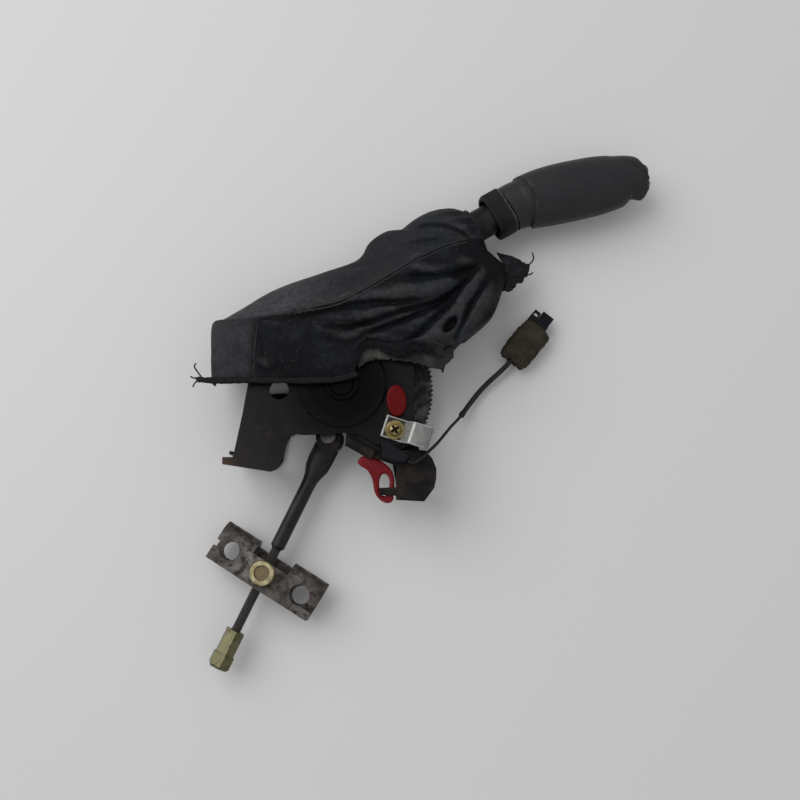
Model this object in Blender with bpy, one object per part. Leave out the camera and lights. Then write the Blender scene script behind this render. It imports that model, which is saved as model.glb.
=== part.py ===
"""Parking-brake lever assembly for a car, lying on its side.

Units are metres, +Z is up from the table the assembly lies on, and the lever's
hinge axis is parallel to Z. Sizes below are in millimetres in the lever's own
frame, whose origin is the hinge axis on the table; PIVOT puts that point in the
part's frame, whose origin is the middle of the base of the whole assembly.
"""
import math

import bmesh
import bpy
from mathutils import Matrix, Vector
from mathutils.geometry import tessellate_polygon

MM = 0.001
GAP = 0.3                       # air left between pieces that touch
PIVOT = (-73.6, 11.0)           # hinge axis in the part's frame
ROUND = 22                      # sides of a round piece

# Stack of plates along the hinge axis
SHEET = 2.5
FAR_LOW = 0.0
NEAR_TOP = 54.0
MID = 27.0                      # middle plane: lever tube, grip and ratchet sector
NEAR_LOW = NEAR_TOP - SHEET
FAR_TOP = FAR_LOW + SHEET
EMBOSS_R = 35.0
EMBOSS_RISE = 1.2
PLATE_HOLE_AT = (-48.9, -4.7)
PLATE_HOLE_R = 7.6
CAP_AT = (42.4, -13.6)          # oval plug in the near plate
CAP_HALF = (7.7, 12.6)
CAP_RISE = 4.2
CAP_STEM_R = 3.9
REAR_BASE = ((-87.0, -54.4), (-56.0, -59.3))   # cross strip of the rear foot
REAR_BOLTS = (15.0, 39.0)       # heights of its bolt holes
FRONT_BASE = ((44.4, -81.4), (61.6, -82.4))    # cross strip of the front foot

# Hinge
PIN_R = 6.0
RUN = 0.1                       # running clearance of a turning fit
BOSS_R = 13.0
BOSS_RISE = 2.2                 # of the ring round the pin's head
HEAD_R = 9.4
HEAD_RISE = 1.6

# Ratchet
SECTOR_R = 72.0
SECTOR_T = 3.0
TOOTH_PITCH = 3.1               # degrees
TOOTH_H = 2.2
TEETH_FROM = -36.0
TEETH_TO = 81.0
PAWL_PIN_AT = (54.2, 69.3)
PAWL_PIN_R = 3.0
SECTOR_PIN_UPPER = (52.0, -22.0)
SECTOR_PIN_LOWER = (36.0, -43.0)

# Lever
TUBE_R = 13.0
TUBE_WALL = 2.0
TUBE_SLOPE = 30.4               # degrees, straight lower part of the tube
CHEEK_T = 2.5
CLEVIS_AT = (-11.0, -39.6)
CLEVIS_PIN_R = 4.0
EYE_R = 11.0
EYE_HALF = 3.5                  # half thickness of the rod's eye
LEVER_RIVETS = ((67.2, 113.4), (81.0, 121.5))
RIVET_R = 3.0
COLLAR_AT = (126.5, 148.3)
COLLAR_LEN = 16.4
COLLAR_HALF = (19.6, 17.0)      # half width and half thickness
COLLAR_CORNER = (7.0, 8.5)      # how far its corners are cut back

# Pull rod and equalizer
ROD_Z = 20.0
ROD_DIR = (-0.4327, -0.9015)
ROD_R = 5.7
THREAD_R = 4.0
ROD_SHOULDER = 94.0             # from the clevis pin to the end of the thick rod
ROD_END = 194.0
TRUNNION_AT = 117.0
TRUNNION_R = 7.4
EQUALIZER_TILT = -32.0          # degrees, its long axis from +X
EQUALIZER_T = 2.5
EQUALIZER_LOW = ROD_Z - 9.6     # under side of the far sheet
EQUALIZER_HIGH = ROD_Z + 6.4    # under side of the near sheet
EQUALIZER_BACK = -13.0          # edge on the nut's side
EQUALIZER_FRONT = 20.0          # edge on the clevis side, rolled over
EQUALIZER_BOW = (               # (place along the bar, lift of the near sheet's middle there)
    (-20.0, -0.05), (-13.0, 1.6), (-6.0, 2.4), (8.0, 2.4), (15.0, 1.6), (22.0, -0.05),
)
CABLE_SEATS = (                 # place of the hole along the bar, end of its slot and the slot's place across
    (-32.0, -50.0, 1.0), (33.0, 53.0, -3.5),
)
SEAT_R = 8.0                    # hole in the near sheet
SEAT_BACK_R = 7.2               # hole in the far sheet
SLOT_HALF = 2.6
TRUNNION_HEAD = EQUALIZER_HIGH + EQUALIZER_T + 2.4 + GAP
NUT_FROM = 166.0
NUT_SLEEVE_R = 8.0
NUT_HEX_FROM = 185.5
NUT_HEX_R = 9.2
NUT_CHAMFER = 2.0
NUT_TO = 197.0

# Hand grip: centre x, centre y, half width, half thickness of each section
GRIP_SECTIONS = (
    (134.6, 152.4, 20.3, 16.9), (138.9, 154.9, 20.7, 17.1), (146.0, 157.6, 21.4, 17.4), (150.0, 159.0, 22.6, 18.0),
    (163.0, 162.8, 24.4, 18.4), (178.0, 166.6, 25.2, 18.4), (194.0, 170.2, 25.2, 18.0),
    (209.0, 173.6, 24.6, 17.4), (222.0, 176.4, 22.8, 16.6), (231.0, 178.6, 20.2, 15.8),
    (238.0, 177.7, 19.9, 14.6), (244.0, 175.4, 17.2, 13.0), (249.0, 171.6, 11.6, 9.4),
    (252.0, 171.4, 6.0, 4.6),
)
BUTTON_AT = (241.5, 184.6)
BUTTON_DIR = (0.966, 0.26)
BUTTON_R = 6.2
BUTTON_MOUTH = (6.5, 8.4)        # how far out the well widens, and to what radius

# Gaiter: left or upper edge (x, y), right or lower edge (x, y), low and high side, how square the loop is
GAITER_RINGS = (
    (-103.0, 2.0, 80.0, 4.0, 3.6, 65.0, 0.28), (-103.5, 24.0, 84.0, 21.0, 3.6, 66.5, 0.28),
    (-103.0, 47.0, 95.0, 38.0, 3.4, 67.5, 0.30), (-96.0, 52.0, 101.0, 43.0, 3.5, 67.0, 0.40),
    (-82.0, 62.5, 110.0, 50.0, 3.6, 66.0, 0.5),
    (-56.0, 80.0, 120.0, 60.0, 4.0, 64.5, 0.6), (-18.0, 95.0, 126.0, 74.0, 4.4, 62.5, 0.7),
    (10.0, 106.5, 130.0, 88.0, 5.0, 60.0, 0.8), (20.0, 122.0, 131.0, 96.0, 5.6, 58.0, 0.85),
    (33.0, 131.5, 130.0, 101.0, 6.0, 56.5, 0.85), (45.0, 133.0, 127.0, 104.0, 6.0, 55.0, 0.85),
    (56.0, 141.5, 123.0, 107.0, 5.8, 53.0, 0.85), (70.0, 149.0, 119.0, 110.0, 6.2, 50.5, 0.9),
    (85.0, 152.0, 117.0, 116.0, 8.0, 46.0, 0.95), (98.2, 149.6, 113.8, 122.8, 11.6, 42.4, 1.0),
)
GAITER_WALL = 1.5
GAITER_ROWS = 36
GAITER_NEAR = 56                # points round the half of a loop that faces up
GAITER_FAR = 16                 # and round the half that lies on the table
LOOP_DETAIL = 360               # points a loop is worked out with before it is read at even steps
HEM_LIFT = 20.0                 # the hem of the far side lies this much higher up the lever
HEM_LIFT_ENDS = 0.2             # share of the rows over which that fades out
TORN_HEM = (                    # (x, how much of the hem is torn off there)
    (-110.0, 0.0), (2.0, 0.0), (9.0, 4.0), (16.0, 22.0), (24.0, 25.0), (34.0, 19.0), (46.0, 16.0),
    (56.0, 21.0), (68.0, 18.0), (80.0, 15.0), (92.0, 10.0),
)
TEAR_ENDS = 0.14
PANEL_EDGE = (                  # ridge over the band and seam of the upper panel
    (-112, 48), (-75, 49), (-38, 55), (-3, 62), (18, 72), (36, 84), (51, 94), (69, 104), (85, 112),
    (104, 119),
)
PANEL_SLOPE = 0.60              # fall of the upper panel away from that edge
PANEL_DROP = 13.0               # and the most that it falls
PANEL_END = (25.0, 75.0)        # towards the neck the fall eases off between these two places along X
PANEL_LEFT = 0.3                # to this share
BAND_SLOPE = 0.11               # fall of the band from the ridge to the hem
BAND_END = (-20.0, 60.0)        # the band runs out between these two places along X
VALLEY_WIDTH = 3.2              # how soon the sharp valley of a fold fades to its sides
FOLDS = (                       # line, reach and height of the lip on its left, depth of its valley
    (((-51, 47), (-12, 57), (17, 61), (45, 62), (78, 68)), 8.0, 3.2, 5.0),
    (((-19, 43), (11, 44), (45, 55), (72, 64), (97, 79)), 7.0, 3.6, 4.6),
    (((10, 35), (38, 45), (65, 57), (96, 80)), 8.0, 3.4, 5.2),
    (((46, 84), (66, 84), (84, 87), (110, 96)), 9.0, 3.0, 6.5),
    (((112, 102), (96, 80), (80, 58), (64, 41), (46, 22)), 9.0, 4.2, 6.0),
    (((122, 94), (105, 68), (94, 46), (86, 30)), 7.0, 3.4, 5.0),
    (((54, 130), (72, 131), (88, 127), (106, 118)), 6.0, 2.6, 4.4),
)
FACING_POWER = 0.7              # how the folds fade towards the gaiter's edges
FACING_STEEP = 2.5              # how soon the far hem lies higher, down its sides
NEAR_SIDE = 0.35                # how far down its sides the torn hem of the near side runs on
NECK_FADE = (0.84, 0.97)        # shares of the rows between which the relief dies out at the neck
FOLD_FADE = (0.25, 0.2)         # shares of a fold's line over which it fades in and out
LINE_STEPS = 16                 # straight pieces that a smooth line is read in

# Warning-lamp switch: place of its bracket and degrees from +X; the plunger's axis
SWITCH_FRAME = ((40.5, -35.3), -18.0)
SWITCH_SCREW_AT = (41.3, -36.6)
SWITCH_SHEET = 1.2
WASHER_T = 1.4
WASHER_R = 7.7
SCREW_R = 2.4
SCREW_BORE = 2.8
SCREW_HEAD_R = 4.9
PLUNGER_DIR = (-0.95, 0.3, 0.0)
PLUNGER_FROM = (42.5, -55.5, NEAR_TOP + GAP + 3.0)

# Switch lead, a free wire lying from the switch down to the table
WIRE_D = 2.4
SLEEVE_D = 4.2
LEAD_ROUTE = (
    (51.1, -60.4, 57.4), (55.0, -62.0, 57.2), (60.6, -59.2, 56.6), (67.0, -53.0, 54.0), (74.0, -45.6, 47.6),
    (80.5, -37.0, 37.6), (86.0, -29.4, 27.6), (91.0, -23.4, 19.6), (95.0, -18.4, 14.6),
)
SLEEVE_ROUTE = (
    (95.3, -18.0, 14.2), (99.6, -11.8, 10.6), (105.0, -4.4, 8.4), (111.0, 3.0, 7.6), (118.0, 10.2, 8.0),
    (125.4, 16.8, 9.0), (132.0, 23.0, 10.2), (136.6, 28.0, 10.9),
)
FOAM_DIR = (0.64, 0.768, 0.0)
FOAM_LENGTH = 35.0


def clear_scene():
    for item in list(bpy.data.objects):
        bpy.data.objects.remove(item, do_unlink=True)


def finish(name, colour, roughness, metallic):
    """A plain Principled material."""
    material = bpy.data.materials.new(name)
    material.use_nodes = True
    shader = material.node_tree.nodes["Principled BSDF"]
    shader.inputs["Base Color"].default_value = (*colour, 1.0)
    shader.inputs["Roughness"].default_value = roughness
    shader.inputs["Metallic"].default_value = metallic
    return material


def paint():
    return finish("black_paint", (0.025, 0.023, 0.022), 0.45, 0.3)


def steel(name="dark_steel", colour=(0.11, 0.1, 0.1)):
    return finish(name, colour, 0.45, 0.8)


def zinc_yellow():
    return finish("yellow_zinc", (0.52, 0.44, 0.2), 0.35, 0.9)


def zinc_bright():
    return finish("bright_zinc", (0.72, 0.71, 0.68), 0.3, 0.9)


def plastic(name, colour):
    return finish(name, colour, 0.4, 0.0)


def add_object(name, mesh, material, smooth=None):
    """Link one piece, merged and with its faces turned out."""
    work = bmesh.new()
    work.from_mesh(mesh)
    bmesh.ops.remove_doubles(work, verts=work.verts, dist=1e-7)
    bmesh.ops.recalc_face_normals(work, faces=work.faces)
    if work.calc_volume(signed=True) < 0:
        bmesh.ops.reverse_faces(work, faces=work.faces)
    work.to_mesh(mesh)
    work.free()
    mesh.materials.clear()
    mesh.materials.append(material)
    if smooth is not None:
        mesh.shade_smooth()
        mesh.set_sharp_from_angle(angle=math.radians(smooth))
    piece = bpy.data.objects.new(name, mesh)
    bpy.context.collection.objects.link(piece)
    return piece


def mesh_from(points, faces):
    mesh = bpy.data.meshes.new("shape")
    mesh.from_pydata([Vector(p) * MM for p in points], [], faces)
    return mesh


def arc(centre, radius, start, stop, steps):
    """Points of a circular arc, angles in degrees."""
    points = []
    for i in range(steps + 1):
        angle = math.radians(start + (stop - start) * i / steps)
        points.append((centre[0] + radius * math.cos(angle), centre[1] + radius * math.sin(angle)))
    return points


def circle(centre, radius, sides=ROUND):
    return arc(centre, radius, 0, 360, sides)[:-1]


def rounded(corners, radius, steps=4):
    """A polygon with every corner replaced by a small arc-like bend."""
    points = []
    count = len(corners)
    for i, corner in enumerate(corners):
        here = Vector(corner)
        before = Vector(corners[i - 1]) - here
        after = Vector(corners[(i + 1) % count]) - here
        reach = min(radius, 0.45 * before.length, 0.45 * after.length)
        start = here + before.normalized() * reach
        end = here + after.normalized() * reach
        for k in range(steps + 1):
            t = k / steps
            bend = start * (1 - t) ** 2 + here * 2 * t * (1 - t) + end * t ** 2
            points.append((bend.x, bend.y))
    return points


def prism(outline, low, high, holes=()):
    """A flat plate between two heights, with through holes."""
    loops = [list(outline)] + [list(hole) for hole in holes]
    flat = [Vector((x, y, 0)) for loop in loops for x, y in loop]
    count = len(flat)
    triangles = tessellate_polygon([[Vector((x, y, 0)) for x, y in loop] for loop in loops])
    points = [(p.x, p.y, low) for p in flat] + [(p.x, p.y, high) for p in flat]
    faces = []
    for a, b, c in triangles:
        faces.append((a, b, c))
        faces.append((c + count, b + count, a + count))
    first = 0
    for loop in loops:
        size = len(loop)
        for i in range(size):
            a = first + i
            b = first + (i + 1) % size
            faces.append((a, b, b + count, a + count))
        first += size
    return mesh_from(points, faces)


def turned(profile, sides=ROUND):
    """A solid of revolution about Z from a closed (radius, height) profile off the axis."""
    points = []
    for k in range(sides):
        angle = 2 * math.pi * k / sides
        for radius, height in profile:
            points.append((radius * math.cos(angle), radius * math.sin(angle), height))
    size = len(profile)
    faces = []
    for k in range(sides):
        for i in range(size):
            j = (i + 1) % size
            n = (k + 1) % sides
            faces.append((k * size + i, k * size + j, n * size + j, n * size + i))
    return mesh_from(points, faces)


def rod_stack(steps, sides=ROUND):
    """A solid of revolution about Z that reaches the axis: (height, radius) steps, capped."""
    points = []
    faces = []
    for height, radius in steps:
        for k in range(sides):
            angle = 2 * math.pi * k / sides
            points.append((radius * math.cos(angle), radius * math.sin(angle), height))
    for i in range(len(steps) - 1):
        for k in range(sides):
            n = (k + 1) % sides
            faces.append((i * sides + k, i * sides + n, (i + 1) * sides + n, (i + 1) * sides + k))
    faces.append(tuple(reversed(range(sides))))
    faces.append(tuple(range((len(steps) - 1) * sides, len(steps) * sides)))
    return mesh_from(points, faces)


def loft(rings):
    """Skin equal rings of points in order."""
    size = len(rings[0])
    points = [p for ring in rings for p in ring]
    faces = []
    for i in range(len(rings) - 1):
        for k in range(size):
            n = (k + 1) % size
            faces.append((i * size + k, i * size + n, (i + 1) * size + n, (i + 1) * size + k))
    faces.append(tuple(reversed(range(size))))
    faces.append(tuple(range((len(rings) - 1) * size, len(rings) * size)))
    return mesh_from(points, faces)


def along(path, section):
    """Carry section(i) -> [(side, height)] along a path that lies in a plane of constant Z."""
    rings = []
    for i, here in enumerate(path):
        back = Vector(path[max(i - 1, 0)])
        ahead = Vector(path[min(i + 1, len(path) - 1)])
        heading = (ahead - back).normalized()
        side = Vector((-heading.y, heading.x, 0))
        ring = []
        for across, height in section(i):
            spot = Vector(here) + side * across
            ring.append((spot.x, spot.y, spot.z + height))
        rings.append(ring)
    return rings


def oval(half_side, half_height, sides=ROUND):
    points = []
    for k in range(sides):
        angle = 2 * math.pi * k / sides
        points.append((half_side * math.cos(angle), half_height * math.sin(angle)))
    return points


def place(mesh, matrix):
    mesh.transform(matrix)
    return mesh


def shifted(x, y, z=0.0):
    return Matrix.Translation(Vector((x, y, z)) * MM)


def aimed(start, direction):
    """A frame whose Z runs along direction from start, with its X kept level."""
    axis = Vector(direction).normalized()
    level = Vector((0, 0, 1)).cross(axis).normalized()
    upward = axis.cross(level)
    turn = Matrix((level, upward, axis)).transposed().to_4x4()
    return Matrix.Translation(Vector(start) * MM) @ turn


def boolean(piece_mesh, other_mesh, operation):
    """Join or cut two closed shapes and return the new mesh."""
    target = add_object("boolean_target", piece_mesh, paint())
    tool = add_object("boolean_tool", other_mesh, paint())
    step = target.modifiers.new("boolean", "BOOLEAN")
    step.operation = operation
    step.solver = "EXACT"
    step.object = tool
    bpy.context.view_layer.update()
    depsgraph = bpy.context.evaluated_depsgraph_get()
    result = bpy.data.meshes.new_from_object(target.evaluated_get(depsgraph))
    bpy.data.objects.remove(target, do_unlink=True)
    bpy.data.objects.remove(tool, do_unlink=True)
    return result


def join(first, *others):
    for other in others:
        first = boolean(first, other, "UNION")
    return first


def cut(first, *others):
    for other in others:
        first = boolean(first, other, "DIFFERENCE")
    return first


def smooth_route(points, step):
    """Points read at even steps from a smooth curve through the route's own points."""
    route = [Vector(p) for p in points]
    dense = []
    for i in range(len(route) - 1):
        p0 = route[max(i - 1, 0)]
        p1 = route[i]
        p2 = route[i + 1]
        p3 = route[min(i + 2, len(route) - 1)]
        for k in range(24):
            t = k / 24
            dense.append(
                0.5 * (2 * p1 + (p2 - p0) * t + (2 * p0 - 5 * p1 + 4 * p2 - p3) * t ** 2
                       + (3 * p1 - p0 - 3 * p2 + p3) * t ** 3)
            )
    dense.append(route[-1])
    length = sum((b - a).length for a, b in zip(dense, dense[1:]))
    count = max(2, round(length / step))
    spots = [dense[0]]
    target = length / count
    walked = 0.0
    for a, b in zip(dense, dense[1:]):
        run = (b - a).length
        while walked + run >= target - 1e-9 and len(spots) < count:
            spots.append(a + (b - a) * ((target - walked) / run))
            target += length / count
        walked += run
    spots.append(dense[-1])
    return spots


def tube_along(name, points, diameter, material):
    """A round cord as a bevelled poly curve with filled caps."""
    curve = bpy.data.curves.new(name, "CURVE")
    curve.dimensions = "3D"
    curve.bevel_depth = diameter * MM / 2
    curve.bevel_resolution = 2
    curve.use_fill_caps = True
    spline = curve.splines.new("POLY")
    spline.points.add(len(points) - 1)
    for spot, place_at in zip(spline.points, points):
        spot.co = (*(Vector(place_at) * MM), 1.0)
    curve.materials.append(material)
    piece = bpy.data.objects.new(name, curve)
    bpy.context.collection.objects.link(piece)
    return piece


def bracket_outline():
    """Side plate: rear foot on the left, web under the hinge, switch corner on the right."""
    rear_foot = [(-72.0, 14.0), (-73.1, 0.8), (-77.1, -24.4), (-82.0, -50.0), (-83.2, -57.1),
                 (-91.6, -57.1), (-91.4, -62.5), (-54.5, -68.3)]
    foot_corner = [(-50.0, -66.8), (-47.0, -61.7)]
    arch = [(-41.5, -45.5), (-39.0, -41.0), (-35.0, -39.2), (-29.0, -40.0)]
    web = [(2.7, -38.2), (14.0, -40.0), (27.0, -47.0), (50.0, -47.0)]
    right_edge = [(53.5, -44.0), (53.5, -28.0), (56.0, -24.0), (56.0, 18.0)]
    return rear_foot + foot_corner + arch + web + right_edge + [(40.0, 22.0), (-60.0, 22.0)]


def near_plate():
    outline = bracket_outline()
    holes = [circle(PLATE_HOLE_AT, PLATE_HOLE_R), circle((0, 0), PIN_R + GAP)]
    holes += [circle(SWITCH_SCREW_AT, SCREW_BORE, 16), circle(CAP_AT, CAP_STEM_R + 0.5, 16)]
    plate = prism(outline, NEAR_LOW, NEAR_TOP, holes)
    dome = turned([(PIN_R + GAP, NEAR_TOP - 1.0), (EMBOSS_R, NEAR_TOP - 1.0), (EMBOSS_R, NEAR_TOP),
                   (EMBOSS_R - 1.5, NEAR_TOP + EMBOSS_RISE), (PIN_R + GAP, NEAR_TOP + EMBOSS_RISE)], 32)
    return join(plate, dome)


def far_plate():
    """Hidden side plate, cut lower at the top so that the soft gaiter passes over it."""
    outline = [(-70.0, 1.0), (-76.0, -44.0), (-88.0, -50.0), (-88.0, -55.2), (-55.0, -60.4),
               (-51.0, -55.0), (-47.0, -34.0), (-26.0, -26.0), (6.0, -28.0), (38.0, -50.0), (43.4, -82.2),
               (62.6, -83.2), (67.0, -74.0), (68.0, -62.0), (62.0, -48.0), (54.0, -24.0), (54.0, 1.0),
               (24.0, 3.0)] + arc((0, 0), 15.5, 10, 170, 8) + [(-24.0, 3.0)]
    return prism(outline, FAR_LOW, FAR_TOP, [circle((0, 0), PIN_R + GAP), circle((-60.0, -20.0), 7.6)])


def foot_base(start, stop, high, bolts):
    """Strip from the far plate up to the sheet above it, which stands on the floor pan."""
    run = Vector(stop) - Vector(start)
    length = run.length
    low = FAR_TOP + GAP
    holes = [circle((length / 2, height), 4.2, 20) for height in bolts]
    strip = prism([(0, low), (length, low), (length, high), (0, high)], 0.0, SHEET, holes)
    heading = run.normalized()
    frame = Matrix(((heading.x, 0, -heading.y, 0), (heading.y, 0, heading.x, 0), (0, 1, 0, 0), (0, 0, 0, 1)))
    return place(strip, shifted(start[0], start[1]) @ frame)


def front_foot():
    """Front foot stamping under the near plate, with a raised channel along its arm."""
    outline = [(4.0, -31.0), (26.0, -43.0), (41.0, -51.5)]
    outline += [(64.7, -51.5), (70.0, -57.8), (73.2, -65.6), (73.0, -73.0), (71.5, -80.4), (63.7, -90.9)]
    outline += [(42.0, -89.7), (42.0, -86.5), (29.0, -86.0), (29.0, -80.5), (42.0, -80.0), (42.0, -63.0),
                (26.0, -58.0), (3.0, -45.0)]
    top = NEAR_LOW - GAP
    foot = prism(outline, top - SHEET, top)
    crest = top + 0.9
    channel_path = [(4.5, -44.0, crest), (13.0, -48.5, crest), (25.0, -55.5, crest)]
    ridge = loft(along(channel_path, lambda i: oval(4.6, 3.0, 14)))
    return join(foot, ridge)


def sector():
    """Fan-shaped ratchet plate: hub round the hinge pin and saw teeth on the rim."""
    count = round((TEETH_TO - TEETH_FROM) / TOOTH_PITCH)
    rim = []
    for i in range(count):
        angle = TEETH_FROM + i * TOOTH_PITCH
        rim.append(arc((0, 0), SECTOR_R - TOOTH_H, angle, angle, 1)[0])
        rim.append(arc((0, 0), SECTOR_R, angle + 0.6 * TOOTH_PITCH, angle + 0.6 * TOOTH_PITCH, 1)[0])
    rim.append(arc((0, 0), SECTOR_R - TOOTH_H, TEETH_TO, TEETH_TO, 1)[0])
    hub = arc((0, 0), 14.0, 100, 285, 12)
    outline = [(38.0, -52.0)] + rim + hub
    holes = [circle((0, 0), PIN_R + GAP)]
    holes += [circle(spot, 4.0, 18) for spot in (SECTOR_PIN_UPPER, SECTOR_PIN_LOWER)]
    return prism(outline, MID - SECTOR_T / 2, MID + SECTOR_T / 2, holes)


def sector_pin(x, y, high):
    """Shouldered pin from the far plate up to a sheet above the sector."""
    low = FAR_TOP + GAP
    collar_low = MID - SECTOR_T / 2 - GAP
    shape = rod_stack([(low, 5.5), (collar_low, 5.5), (collar_low, 3.6), (high, 3.6)], 18)
    return place(shape, shifted(x, y))


def cheek(low):
    """One side of the lever: hub on the hinge, clevis ear below, arm up to the tube."""
    outline = arc(CLEVIS_AT, 10.0, 150, 395, 12)
    outline += [(15.0, -14.0), (20.0, 6.0), (44.0, 40.0), (66.0, 62.0), (74.0, 84.0), (93.0, 113.0),
                (91.0, 122.0), (82.0, 134.0), (58.0, 120.0), (30.0, 92.0), (2.0, 40.0)]
    outline += arc((0, 0), 19.0, 130, 190, 6)
    holes = [circle((0, 0), PIN_R + RUN), circle(CLEVIS_AT, CLEVIS_PIN_R + GAP, 18)]
    holes.append(circle(PAWL_PIN_AT, PAWL_PIN_R + GAP, 14))
    holes += [circle(spot, RIVET_R + GAP, 16) for spot in LEVER_RIVETS]
    return prism(outline, low, low + CHEEK_T, holes)


def tube_path():
    """Centreline of the lever tube: straight out of the cheeks, then eased into the grip."""
    slope = math.radians(TUBE_SLOPE)
    start = Vector((62.0, 110.4, MID))
    heading = Vector((math.cos(slope), math.sin(slope), 0))
    path = [start + heading * reach for reach in (0.0, 40.0, 76.0, 88.0)]
    return path + [Vector((150.0, 160.1, MID)), Vector((165.0, 166.0, MID)), Vector((196.0, 174.0, MID))]


def lever_tube():
    path = tube_path()
    bore_r = TUBE_R - TUBE_WALL
    bore = [path[0] + (path[0] - path[1]) * 0.2] + path + [path[-1] + (path[-1] - path[-2]) * 0.2]
    shell = loft(along(path, lambda i: oval(TUBE_R, TUBE_R, 24)))
    body = cut(shell, loft(along(bore, lambda i: oval(bore_r, bore_r, 24))))
    for x, y in LEVER_RIVETS:
        body = cut(body, place(rod_stack([(0, RIVET_R + GAP), (60, RIVET_R + GAP)], 16), shifted(x, y)))
    return body


def grip():
    """Moulded hand grip, hollow over the tube and bored for the button and its rod."""
    path = [(x, y, MID) for x, y, _, _ in GRIP_SECTIONS]
    body = loft(along(path, lambda i: oval(GRIP_SECTIONS[i][2], GRIP_SECTIONS[i][3], 30)))
    bore = tube_path()[1:]
    bore.append(bore[-1] + (bore[-1] - bore[-2]).normalized() * 6.0)
    socket = loft(along(bore, lambda i: oval(TUBE_R + GAP, TUBE_R + GAP, 24)))
    ledge, mouth = BUTTON_MOUTH
    well = rod_stack([(-50, BUTTON_R + GAP), (ledge, BUTTON_R + GAP), (ledge, mouth), (40, mouth)], 24)
    well = place(well, aimed((*BUTTON_AT, MID), (*BUTTON_DIR, 0)))
    return cut(body, socket, well)


def release_button():
    start = Vector((*BUTTON_AT, MID)) - Vector((*BUTTON_DIR, 0)) * 8.0
    shape = rod_stack([(0, 5.0), (1.0, BUTTON_R), (14.0, BUTTON_R), (17.0, 5.2), (18.6, 3.0)], 24)
    return place(shape, aimed(start, (*BUTTON_DIR, 0)))


def release_rod():
    """Wire from the button down the bent tube to the pawl, with a foot at its end."""
    path = [(232.4, 182.2, MID), (214.0, 177.2, MID), (196.0, 173.4, MID), (165.0, 166.0, MID),
            (150.0, 157.6, MID), (131.4, 143.2, MID), (107.8, 128.5, MID), (83.8, 114.4, MID),
            (67.4, 105.0, MID), (62.4, 101.4, MID), (59.0, 93.0, MID), (59.0, 81.0, MID)]
    return loft(along(path, lambda i: oval(2.0, 2.0, 12)))


def button_spring():
    """Coil spring round the release wire in the grip, drawn as its sleeve."""
    shape = turned([(3.4, 0), (5.4, 0), (5.4, 20.0), (3.4, 20.0)], 20)
    start = Vector((*BUTTON_AT, MID)) - Vector((*BUTTON_DIR, 0)) * 30.0
    return place(shape, aimed(start, (*BUTTON_DIR, 0)))


def pawl():
    """Latch on the lever, its tooth held just off the sector's rim."""
    tip = [(50.2, 54.6), (52.6, 50.8), (58.0, 56.0)]
    outline = tip + arc(PAWL_PIN_AT, 6.5, -20, 190, 12)
    return prism(outline, MID - 2.2, MID + 2.2, [circle(PAWL_PIN_AT, PAWL_PIN_R + RUN, 16)])


def pawl_pin(far_side, near_side):
    shape = rod_stack([(far_side - 1.5, 4.6), (far_side - GAP, 4.6), (far_side - GAP, PAWL_PIN_R),
                       (near_side + 1.5, PAWL_PIN_R)], 16)
    return place(shape, shifted(*PAWL_PIN_AT))


def grip_collar():
    """Flattened eight-sided ring on the tube that held the top of the gaiter."""
    half, flat = COLLAR_HALF
    back, corner = COLLAR_CORNER
    outline = [(half, -corner), (half, corner), (half - back, flat), (back - half, flat),
               (-half, corner), (-half, -corner), (back - half, -flat), (half - back, -flat)]
    bore = circle((0, 0), TUBE_R + GAP, 24)
    ring = prism(rounded(outline, 3.0, 2), -COLLAR_LEN / 2, COLLAR_LEN / 2, [bore])
    slope = math.radians(TUBE_SLOPE)
    return place(ring, aimed((*COLLAR_AT, MID), (math.cos(slope), math.sin(slope), 0)))


def curve(rows, count):
    """Catmull-Rom curve through the rows of a table, read at even steps of its parameter."""
    last = len(rows) - 1
    result = []
    for i in range(count):
        step = last * i / (count - 1)
        first = min(int(step), last - 1)
        t = step - first
        around = (rows[max(first - 1, 0)], rows[first], rows[first + 1], rows[min(first + 2, last)])
        row = []
        for a, b, c, d in zip(*around):
            bend = (2 * a - 5 * b + 4 * c - d) * t ** 2 + (3 * b - a - 3 * c + d) * t ** 3
            row.append(0.5 * (2 * b + (c - a) * t + bend))
        result.append(row)
    return result


def even_points(points, count):
    """A polyline read at even steps of its length, without its last point."""
    run = [0.0]
    for a, b in zip(points, points[1:]):
        run.append(run[-1] + (b - a).length)
    result = []
    k = 0
    for i in range(count):
        at = run[-1] * i / count
        while run[k + 1] < at:
            k += 1
        result.append(points[k].lerp(points[k + 1], (at - run[k]) / (run[k + 1] - run[k])))
    return result


def ease(share):
    """Smooth step from 0 at share 0 to 1 at share 1."""
    share = min(1.0, max(0.0, share))
    return share * share * (3 - 2 * share)


def signed_power(value, power):
    return math.copysign(abs(value) ** power, value)


def line_distance(x, y, line):
    """Signed distance from a line, positive on its left, and how far along it the place lies."""
    nearest = (math.inf, 0.0, 0.0)
    for k, (a, b) in enumerate(zip(line, line[1:])):
        run = Vector((b[0] - a[0], b[1] - a[1]))
        offset = Vector((x - a[0], y - a[1]))
        share = min(1.0, max(0.0, offset.dot(run) / run.length_squared))
        distance = (offset - share * run).length
        if distance < nearest[0]:
            side = math.copysign(1.0, run.x * offset.y - run.y * offset.x)
            nearest = (distance, side, (k + share) / (len(line) - 1))
    return nearest[0] * nearest[1], nearest[2]


def torn_off(x):
    """How much of the hem is torn off at a place along X."""
    for (x0, y0), (x1, y1) in zip(TORN_HEM, TORN_HEM[1:]):
        if x0 <= x <= x1:
            return y0 + (y1 - y0) * (x - x0) / (x1 - x0)
    return TORN_HEM[-1][1] if x > TORN_HEM[-1][0] else TORN_HEM[0][1]


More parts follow.
